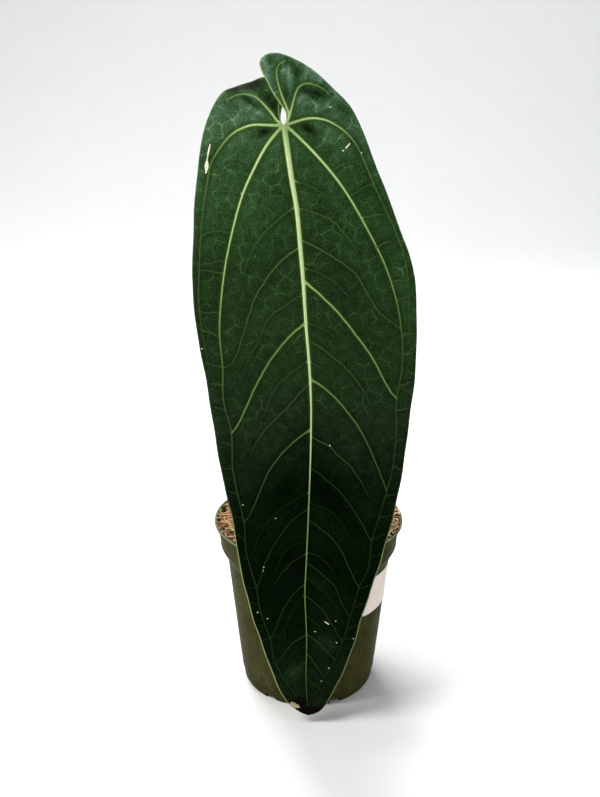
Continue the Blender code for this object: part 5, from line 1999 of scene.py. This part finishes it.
@dataclass
class Moss:
    """The growing medium: a dark bed that fills the pot, under loose strands of dry moss.

    Relief is the lumps' depth, size and seed, and lumps is how far down and up they go. The strands
    are laid between two heights and held between two others. Banked is the radii over which they
    rise towards the wall, and by how much. Flare is the heights over which the wall gives way, and
    by how much. Variety is what differs from strand to strand: its name, bounds and seed.
    """

    centre_top: float = 140.8
    edge_top: float = 140.2
    edge_r: float = 71.3
    hole_r: float = 7.3
    hole_foot: float = 111.4
    wall: Profile = ((69.9, 124.3), (64.3, 113.6), (53.8, 13.7), (50.6, 2.4))
    raised_above: float = 125.0
    sides: int = 240
    rings: int = 58
    lumps: Span = (-2.2, 1.6)
    relief: Triple = (1.3, 5.5, 3.1)
    strands: int = 1250
    strand_points: int = 12
    strand_sides: int = 4
    strand_length: float = 27.0
    strand_r: float = 0.46
    curl: float = 5.6
    curl_size: float = 6.2
    held: Span = (139.8, 147.8)
    laid: Span = (140.2, 145.2)
    banked: Triple = (58, 70, 3.6)
    flare: Triple = (141.4, 144.4, 2.6)
    variety: tuple[tuple[str, float, float, int], ...] = (
        ("tone", -0.35, 1.0, 5), ("shift", 0.0, 40.0, 6), ("width", 0.45, 1.35, 7))

    def build_bed(self) -> Piece:
        """Build the bed, its top raised in lumps.

        Returns:
            The piece.
        """
        radii = np.linspace(self.hole_r, self.edge_r, self.rings)
        drop = self.centre_top - self.edge_top
        top = [(radius, self.centre_top - drop * (radius / self.edge_r) ** 2) for radius in radii]
        hole = (0, self.hole_foot), (self.hole_r, self.hole_foot)
        profile = [*hole, *top, *self.wall, (0, self.wall[-1][1])]
        points, faces = turn_profile(np.array(profile, float), self.sides)
        radii = np.hypot(points[:, 0], points[:, 1])
        on_top = (points[:, 2] > self.raised_above) & (radii > self.hole_r + 0.5)
        depth, size, seed = self.relief
        flat = points[on_top][:, :2]
        lumps = depth * (ripple(flat, size, seed) + 0.6 * ripple(flat, size / 2.3, seed + 4))
        points[on_top, 2] += np.clip(lumps, *self.lumps)
        tone = np.clip(0.4 + 0.5 * ripple(points[:, :2], 3.0, 8.0), 0, 1)
        finish = FibreFinish("moss_bed", (0.035, 0.016, 0.006), (0.2, 0.11, 0.045), (0.015, 0.007, 0.003))
        piece = make_piece("moss_bed", points, faces, finish.material(), {"tone": tone})
        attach(piece, ROOT)
        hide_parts("growing_medium")
        return piece

    def build_strands(self) -> Piece:
        """Grow the loose strands that lie over one another on the bed.

        Returns:
            The piece.
        """
        finish = FibreFinish("moss_strand", (0.3, 0.11, 0.024), (1.0, 0.7, 0.39), (0.035, 0.012, 0.003), 0.7)
        growth = Growth("moss_strands", {
            "Count": self.strands, "Length": self.strand_length * MM, "Radius": self.strand_r * MM,
            "Points": self.strand_points, "Sides": self.strand_sides, "Curl": self.curl * MM,
            "Curl Size": self.curl_size * MM, "Inner": (self.hole_r + 1.2) * MM,
            "Outer": (self.edge_r + 0.1) * MM, "Low": self.held[0] * MM, "High": self.held[1] * MM,
            "Finish": finish.material()})
        given = growth.given
        cloud = growth.put("GeometryNodePoints", {"Count": given["Count"], "Position": self.spread(growth)})
        end = growth.point(given["Length"])
        line = growth.put("GeometryNodeCurvePrimitiveLine", {"Start": growth.scaled(end, -1.0), "End": end})
        line = growth.put("GeometryNodeResampleCurve", {"Curve": line, "Count": given["Points"]})
        laid = growth.put("GeometryNodeInstanceOnPoints", {
            "Points": cloud, "Instance": line, "Scale": growth.random(0.16, 0.62, 4),
            "Rotation": growth.random((-0.12, -0.12, 0.0), (0.12, 0.12, math.tau), 3, "FLOAT_VECTOR")})
        for label, low, high, seed in self.variety:
            laid = growth.put("GeometryNodeStoreNamedAttribute", {
                "Geometry": laid, "Name": label, "Value": growth.random(low, high, seed)}, domain="INSTANCE")
        curves = self.curl_up(growth, growth.put("GeometryNodeRealizeInstances", {0: laid}))
        share = growth.put("GeometryNodeSplineParameter")
        taper = growth.math("SINE", growth.times(growth.plus(share, 0.06), 2.8))
        taper = growth.math("POWER", growth.math("MAXIMUM", taper, 0.05), 0.55)
        radius = growth.times(growth.times(taper, growth.named("width")), given["Radius"])
        ring = growth.put("GeometryNodeCurvePrimitiveCircle", {"Resolution": given["Sides"], "Radius": 1.0})
        flat = growth.put("GeometryNodeTransform", {"Geometry": ring, "Scale": (1.35, 0.75, 1.0)})
        tube = growth.put("GeometryNodeCurveToMesh", {
            "Curve": curves, "Profile Curve": flat, "Scale": radius, "Fill Caps": True})
        piece = growth.run(growth.put("GeometryNodeSetShadeSmooth", {"Geometry": tube}))
        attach(piece, ROOT)
        return piece

    def spread(self, growth: Growth) -> Socket:
        """Scatter the strands over the ring between the stem and the wall, banked up on one side.

        Args:
            growth: The strands' tree.

        Returns:
            Each strand's place.
        """
        radius = growth.times(growth.math("SQRT", growth.random(0.02, 0.98, 1)), growth.given["Outer"])
        angle = growth.random(0.0, math.tau, 2)
        across = growth.times(radius, growth.math("COSINE", angle))
        start, end, bank = (value * MM for value in self.banked)
        bank = growth.times(growth.between(radius, start, end, 0.0, bank),
                            growth.between(across, -60 * MM, 60 * MM))
        height = growth.plus(growth.random(self.laid[0] * MM, self.laid[1] * MM, 8), bank)
        return growth.point(across, growth.times(radius, growth.math("SINE", angle)), height)

    def curl_up(self, growth: Growth, curves: Socket) -> Socket:
        """Bend the strands in every direction and hold them between the stem and the wall.

        Args:
            growth: The strands' tree.
            curves: The straight strands.

        Returns:
            The bent strands.
        """
        given = growth.given
        place = growth.put("GeometryNodeInputPosition")
        scaled = growth.scaled(place, growth.math("DIVIDE", 1.0, given["Curl Size"]))
        where = growth.vector("ADD", scaled, growth.point(z=growth.named("shift")))
        swirl = growth.add("ShaderNodeTexNoise", {"Vector": where, "Scale": 1.0, "Detail": 1.5}).outputs[1]
        aside, above = growth.times(given["Curl"], 3.4), growth.times(given["Curl"], 1.1)
        bends = growth.vector("SUBTRACT", swirl, (0.5, 0.5, 0.5))
        bends = growth.vector("MULTIPLY", bends, growth.point(aside, aside, above))
        x, y, z = growth.parts(growth.vector("ADD", place, bends))
        length = growth.add("ShaderNodeVectorMath", {0: growth.point(x, y)}, operation="LENGTH")
        length = length.outputs["Value"]
        low, high, slack = (value * MM for value in self.flare)
        wall = growth.plus(given["Outer"], growth.between(z, low, high, 0.0, slack))
        held = growth.math("MINIMUM", growth.math("MAXIMUM", length, given["Inner"]), wall)
        ratio = growth.math("DIVIDE", held, growth.math("MAXIMUM", length, 0.0001))
        height = growth.math("MINIMUM", growth.math("MAXIMUM", z, given["Low"]), given["High"])
        moved = growth.point(growth.times(x, ratio), growth.times(y, ratio), height)
        return growth.put("GeometryNodeSetPosition", {"Geometry": curves, "Position": moved})


# The stem, the bud scale and the stalk


@dataclass(frozen=True)
class RindFinish:
    """The finish of what grows upright: lines along it, blotches and small pale pores."""

    name: str
    dark: Colour
    light: Colour
    pore: Colour
    lines: float = 0.35
    roughness: float = 0.5
    fineness: float = 700.0
    mottled: float = 70.0
    relief: Span = (0.0002, 0.6)

    def material(self) -> Material:
        """Build the rind's material.

        Returns:
            The material.
        """
        bench = Surface(self.name)
        mottle = bench.group(Effect.MOTTLE, size=self.mottled, dark=self.dark, light=self.light)
        drawn = bench.group(Effect.FIBRE, fineness=self.fineness)
        share = bench.times(drawn.outputs["Lines"], self.lines)
        colour = bench.blend(share, mottle.outputs["Colour"], self.dark)
        grime = bench.group(Effect.GRIME, amount=1.0)
        colour = bench.blend(grime.outputs["Specks"], colour, self.pore)
        colour = bench.blend(bench.attribute("dry"), colour, self.pore)
        rough = bench.between(mottle.outputs["Height"], 0.3, 0.7, self.roughness - 0.08, self.roughness + 0.1)
        bench.bump(drawn.outputs["Lines"], *self.relief)
        return bench.finish(base_color=colour, roughness=rough)


@dataclass
class Stem:
    """The short stem, ringed where older leaves have fallen."""

    radius: float = 7.0
    foot: float = 112.0
    top: float = 150.0
    rings: tuple[float, ...] = (137.0, 141.5, 146.0)
    ring_depth: float = 0.85
    crown_r: float = 5.2
    sides: int = 72

    def build(self) -> Piece:
        """Turn the stem and dress it.

        Returns:
            The piece.
        """
        groove = self.radius - self.ring_depth
        corners = [(0, self.top, 0), (self.crown_r, self.top, 0.4), (self.radius - 1.2, self.top - 1.2, 0.8)]
        for ring in reversed(self.rings):
            corners.extend(((groove, ring + 1.2, 0.5), (self.radius, ring, 0.4), (groove, ring - 1.0, 0.4)))
        corners.extend(((self.radius, 134, 0.6), (self.radius, 124, 0.5), (self.radius, self.foot, 0.5),
                        (0, self.foot, 0)))
        points, faces = turn_profile(round_corners(corners, 5), self.sides, self.knots)
        dry = 0.55 * fade(points[:, 2, None] - np.array(self.rings), 0.6).max(axis=1)
        finish = RindFinish("stem_rind", (0.055, 0.045, 0.02), (0.16, 0.15, 0.055), (0.42, 0.3, 0.16))
        piece = make_piece("short_stem", points, faces, finish.material(), {"dry": dry})
        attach(piece, ROOT)
        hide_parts("stem")
        return piece

    @staticmethod
    def knots(angles: Array, heights: Array) -> Array:
        """Return the small unevenness of the stem's side, which never stands proud of its radius."""
        return -0.22 - 0.2 * np.sin(3 * angles + heights * 0.7) * np.cos(5 * angles - heights * 1.3)


@dataclass
class BudScale:
    """The dry, papery scale that wraps the stem and the foot of the stalk.

    Crinkle is depth and size, and pleats are depth and how many there are.
    """

    foot: float = 142.0
    top: float = 190.0
    radius: float = 7.5
    facing_deg: float = 70.0
    wrap_deg: float = 235.0
    narrowing: float = 0.93
    belly: float = 1.2
    lean: float = 2.5
    crinkle: Span = (0.16, 3.0)
    pleats: Span = (0.22, 34.0)
    thickness: float = 0.6
    rows: int = 64
    columns: int = 60
    frays: int = 9
    seed: int = 4

    def build(self) -> Piece:
        """Wrap the scale, split its top into frayed points and dress it.

        Returns:
            The piece.
        """
        rng = random.Random(self.seed)
        up, across = sheet_grid(self.rows, self.columns)
        splits = np.array([rng.uniform(-0.9, 0.9) for _ in range(self.frays)])
        depths = np.array([rng.uniform(0.02, 0.09) for _ in range(self.frays)])
        notch = (depths * fade(across[..., None] - splits, 0.05)).max(axis=-1)
        reach = up * (1 - notch * up ** 3)
        spread = math.radians(self.wrap_deg) / 2 * (1 - self.narrowing * reach ** 1.7)
        radius = self.radius + self.belly * np.sin(math.pi * reach) + self.lean * reach ** 3
        flat = np.column_stack(((across * 12).ravel(), (reach * 22).ravel()))
        depth, size = self.crinkle
        crinkle = depth * ripple(flat, size, 1.0) * np.minimum(1, 6 * reach.ravel())
        pleat, turns = self.pleats
        radius = radius + crinkle.reshape(up.shape)
        radius = radius + pleat * np.cos(across * turns) * np.minimum(1, 4 * reach)
        angle = math.radians(self.facing_deg) + spread * across
        points = np.stack((radius * np.cos(angle), radius * np.sin(angle),
                           self.foot + (self.top - self.foot) * reach), axis=-1).reshape(-1, 3)
        thick = np.full(len(points), self.thickness)
        shell, faces = thicken(points, grid_triangles(self.rows, self.columns), thick, thick * 0.0)
        dry = np.tile(np.maximum(ease(up, 0.55, 1.0), 0.6 * ease(np.abs(across), 0.85, 1.0)).ravel(), 2)
        finish = RindFinish("scale_paper", (0.17, 0.085, 0.035), (0.42, 0.25, 0.11), (0.55, 0.38, 0.2),
                            lines=0.7, roughness=0.65, fineness=900.0)
        piece = make_piece("bud_sheath", shell, faces, finish.material(), {"dry": dry * 0.6})
        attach(piece, ROOT)
        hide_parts("bud_scale")
        return piece


@dataclass
class Stalk:
    """The leaf's stalk, which rises behind the blade and swells where it bends to the hub.

    Wrinkle is the depth of the swollen end's wrinkles, and how close they are.
    """

    route: tuple[Triple, ...] = (
        (0, 0, 150.3), (0, 0, 160), (-0.5, 4, 190), (-3, 9.5, 240), (-7, 12.5, 300), (-11.5, 10.5, 360),
        (-15.2, 3.5, 405), (-17.3, -8, 436), (-17.8, -20, 449.5), (-17.8, -36.5, 456.55))
    base_r: float = 3.6
    top_r: float = 2.6
    wrinkle: Span = (0.07, 2.6)
    swell_r: float = 3.5
    swell_length: float = 24.0
    swell_end: float = 0.15
    ridges: int = 7
    ridge: float = 0.09
    sides: int = 42
    step: float = 1.6

    def build(self) -> Piece:
        """Run the stalk along its route and dress it.

        Returns:
            The piece.
        """
        route = smooth_path(self.route, self.step)
        lengths = np.concatenate(([0], np.cumsum(np.linalg.norm(np.diff(route, axis=0), axis=1))))
        radii = self.base_r + (self.top_r - self.base_r) * lengths / lengths[-1]
        left = np.clip((lengths[-1] - lengths) / self.swell_length, 0, 1)
        swell = (self.swell_r - self.top_r) * np.sin(math.pi * (self.swell_end + (1 - self.swell_end) * left))
        radii = radii + np.where(left < 1, swell, 0)
        angles = np.linspace(0, math.tau, self.sides, endpoint=False)
        flutes = self.ridge * (np.cos(self.ridges * angles) - 1)
        depth, turns = self.wrinkle
        wrinkles = depth * np.sin(lengths * turns) * (left < 1)
        points, faces, _ = sweep(route, radii[:, None] + flutes + wrinkles[:, None], self.sides)
        finish = RindFinish("stalk_rind", (0.035, 0.07, 0.016), (0.1, 0.17, 0.04), (0.32, 0.4, 0.16),
                            lines=0.4, roughness=0.4)
        dry = np.repeat(np.where(left < 1, 0.25 * np.sin(math.pi * left), 0.0), self.sides)
        piece = make_piece("stalk", points, faces, finish.material(), {"dry": dry})
        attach(piece, ROOT)
        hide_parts("leaf_stalk")
        return piece


@dataclass
class TipScrap:
    """The small curl of dead, papery skin that hangs at the left of the blade's tip."""

    start: Triple = (-14.0, -79.5, 22.2)
    end: Triple = (-7.4, -78.9, 17.4)
    width: float = 3.8
    curl: float = 1.1
    thickness: float = 0.3
    rows: int = 22
    columns: int = 12

    def build(self) -> Piece:
        """Curl the scrap and dress it.

        Returns:
            The piece.
        """
        start, end = np.array(self.start), np.array(self.end)
        along = (end - start) / np.linalg.norm(end - start)
        across = np.cross(along, (0.0, 1.0, 0.0))
        share, side = sheet_grid(self.rows, self.columns)
        width = self.width / 2 * (0.45 + 0.55 * np.sin(math.pi * np.clip(share * 0.8 + 0.12, 0, 1)))
        width = width * (1 + 0.12 * np.sin(share * 17 + side * 3))
        turn = side * 1.5 + 0.5 * share
        lift = self.curl * (1 - np.cos(turn)) + 0.25 * np.sin(9 * share + 4 * side)
        middle = start + (end - start) * share[..., None]
        points = middle + (width * np.sin(turn))[..., None] * across
        points[..., 1] -= lift
        points = points.reshape(-1, 3)
        thick = np.full(len(points), self.thickness / 2)
        shell, faces = thicken(points, grid_triangles(self.rows, self.columns), thick, thick)
        finish = RindFinish("scrap_paper", (0.3, 0.21, 0.13), (0.66, 0.57, 0.44), (0.84, 0.78, 0.64),
                            lines=0.75, roughness=0.7)
        piece = make_piece("tip_scrap", shell, faces, finish.material(), {"dry": np.zeros(len(shell))})
        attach(piece, ROOT)
        return piece


# The studio


@dataclass(frozen=True)
class StudioFinish:
    """The floor and backdrop: plain, pale and matt."""

    pale: Colour = (0.86, 0.86, 0.85)

    def material(self) -> Material:
        """Build the floor's material, barely mottled.

        Returns:
            The material.
        """
        bench = Surface("studio_paper")
        near = tuple(part * 0.985 for part in self.pale)
        mottle = bench.group(Effect.MOTTLE, size=9.0, dark=near, light=self.pale)
        return bench.finish(base_color=mottle.outputs["Colour"], roughness=0.85)


@dataclass(frozen=True)
class SoftBox:
    """A square soft light: where it hangs, what it looks at, its size, power and colour."""

    name: str
    place: Triple
    aim: Triple
    size: float
    power: float
    colour: Colour

    def hang(self) -> None:
        """Add the light to the scene, turned to what it looks at."""
        data = bpy.data.lights.new(self.name, "AREA")
        data.size, data.energy, data.color = self.size, self.power, self.colour
        light = bpy.data.objects.new(self.name, data)
        light.location = self.place
        light.rotation_euler = (Vector(self.aim) - Vector(self.place)).to_track_quat("-Z", "Y").to_euler()
        bpy.context.scene.collection.objects.link(light)


@dataclass
class Studio:
    """The floor that sweeps up behind, the soft lights and the camera. Lengths are in metres.

    The sweep is the floor's half width, its near end, where it starts to rise, its top, and the
    radius of its bend.
    """

    camera_place: Triple = (-0.00684, -0.8445, 0.5531)
    camera_pitch_deg: float = 19.957
    focal_pixels: float = 1150.0
    frame_pixels: float = 797.0
    sensor: float = 36.0
    sky: Colour = (0.93, 0.97, 1.0)
    sky_strength: float = 0.5
    sweep: tuple[float, ...] = (12.0, -14.0, 1.6, 5.0, 0.7)
    lights: tuple[SoftBox, ...] = (
        SoftBox("key", (-1.05, -0.75, 1.7), (0.0, -0.03, 0.3), 0.7, 30.0, (1.0, 0.985, 0.96)),
        SoftBox("fill", (1.5, -1.2, 0.9), (0.0, 0.0, 0.25), 1.3, 3.5, (0.93, 0.97, 1.0)),
        SoftBox("back", (-0.35, 0.8, 1.6), (0.0, 0.0, 0.2), 0.9, 32.0, (1.0, 1.0, 1.0)))

    def build(self) -> None:
        """Build the floor, the lights and the camera."""
        self.build_floor()
        self.build_lights()
        self.build_camera()
        scene = bpy.context.scene
        scene.view_settings.view_transform = "Standard"

    def build_floor(self) -> None:
        """Build the floor and backdrop as one swept sheet."""
        half, near, far, top, bend = self.sweep
        line = [(near, 0.0), (far, 0.0)]
        for turn in np.linspace(0, math.pi / 2, 16)[1:]:
            line.append((far + bend * math.sin(turn), bend * (1 - math.cos(turn))))
        line.append((far + bend, top))
        points = np.array([(side * half, y, z) for y, z in line for side in (-1, 1)]) / MM
        faces = [[2 * index, 2 * index + 1, 2 * index + 3, 2 * index + 2] for index in range(len(line) - 1)]
        floor = make_piece("studio_floor", points, faces, StudioFinish().material())

    def build_lights(self) -> None:
        """Build a pale sky and the soft boxes."""
        world = bpy.data.worlds.new("studio_sky")
        world.use_nodes = True
        background = world.node_tree.nodes["Background"]
        background.inputs["Color"].default_value = (*self.sky, 1.0)
        background.inputs["Strength"].default_value = self.sky_strength
        bpy.context.scene.world = world
        for light in self.lights:
            light.hang()

    def build_camera(self) -> None:
        """Set the camera at the photograph's viewing angle."""
        data = bpy.data.cameras.new("camera")
        data.sensor_width = self.sensor
        data.lens = self.focal_pixels * self.sensor / self.frame_pixels
        camera = bpy.data.objects.new("camera", data)
        camera.location = self.camera_place
        camera.rotation_euler = (math.radians(90 - self.camera_pitch_deg), 0.0, 0.0)
        bpy.context.scene.collection.objects.link(camera)
        bpy.context.scene.camera = camera


def main() -> None:
    """Build the plant, its pot and the studio."""
    logging.basicConfig(level=logging.INFO, format="%(message)s")
    moss = Moss()
    makers = (Pot().build, Sticker().build, moss.build_bed, moss.build_strands, Stem().build,
              BudScale().build, Stalk().build, Blade().build, TipScrap().build)
    for make in makers:
        piece = make()
        log.info("%s: %d faces", piece.name, len(piece.data.polygons))
    Studio().build()


if __name__ == "__main__":
    main()
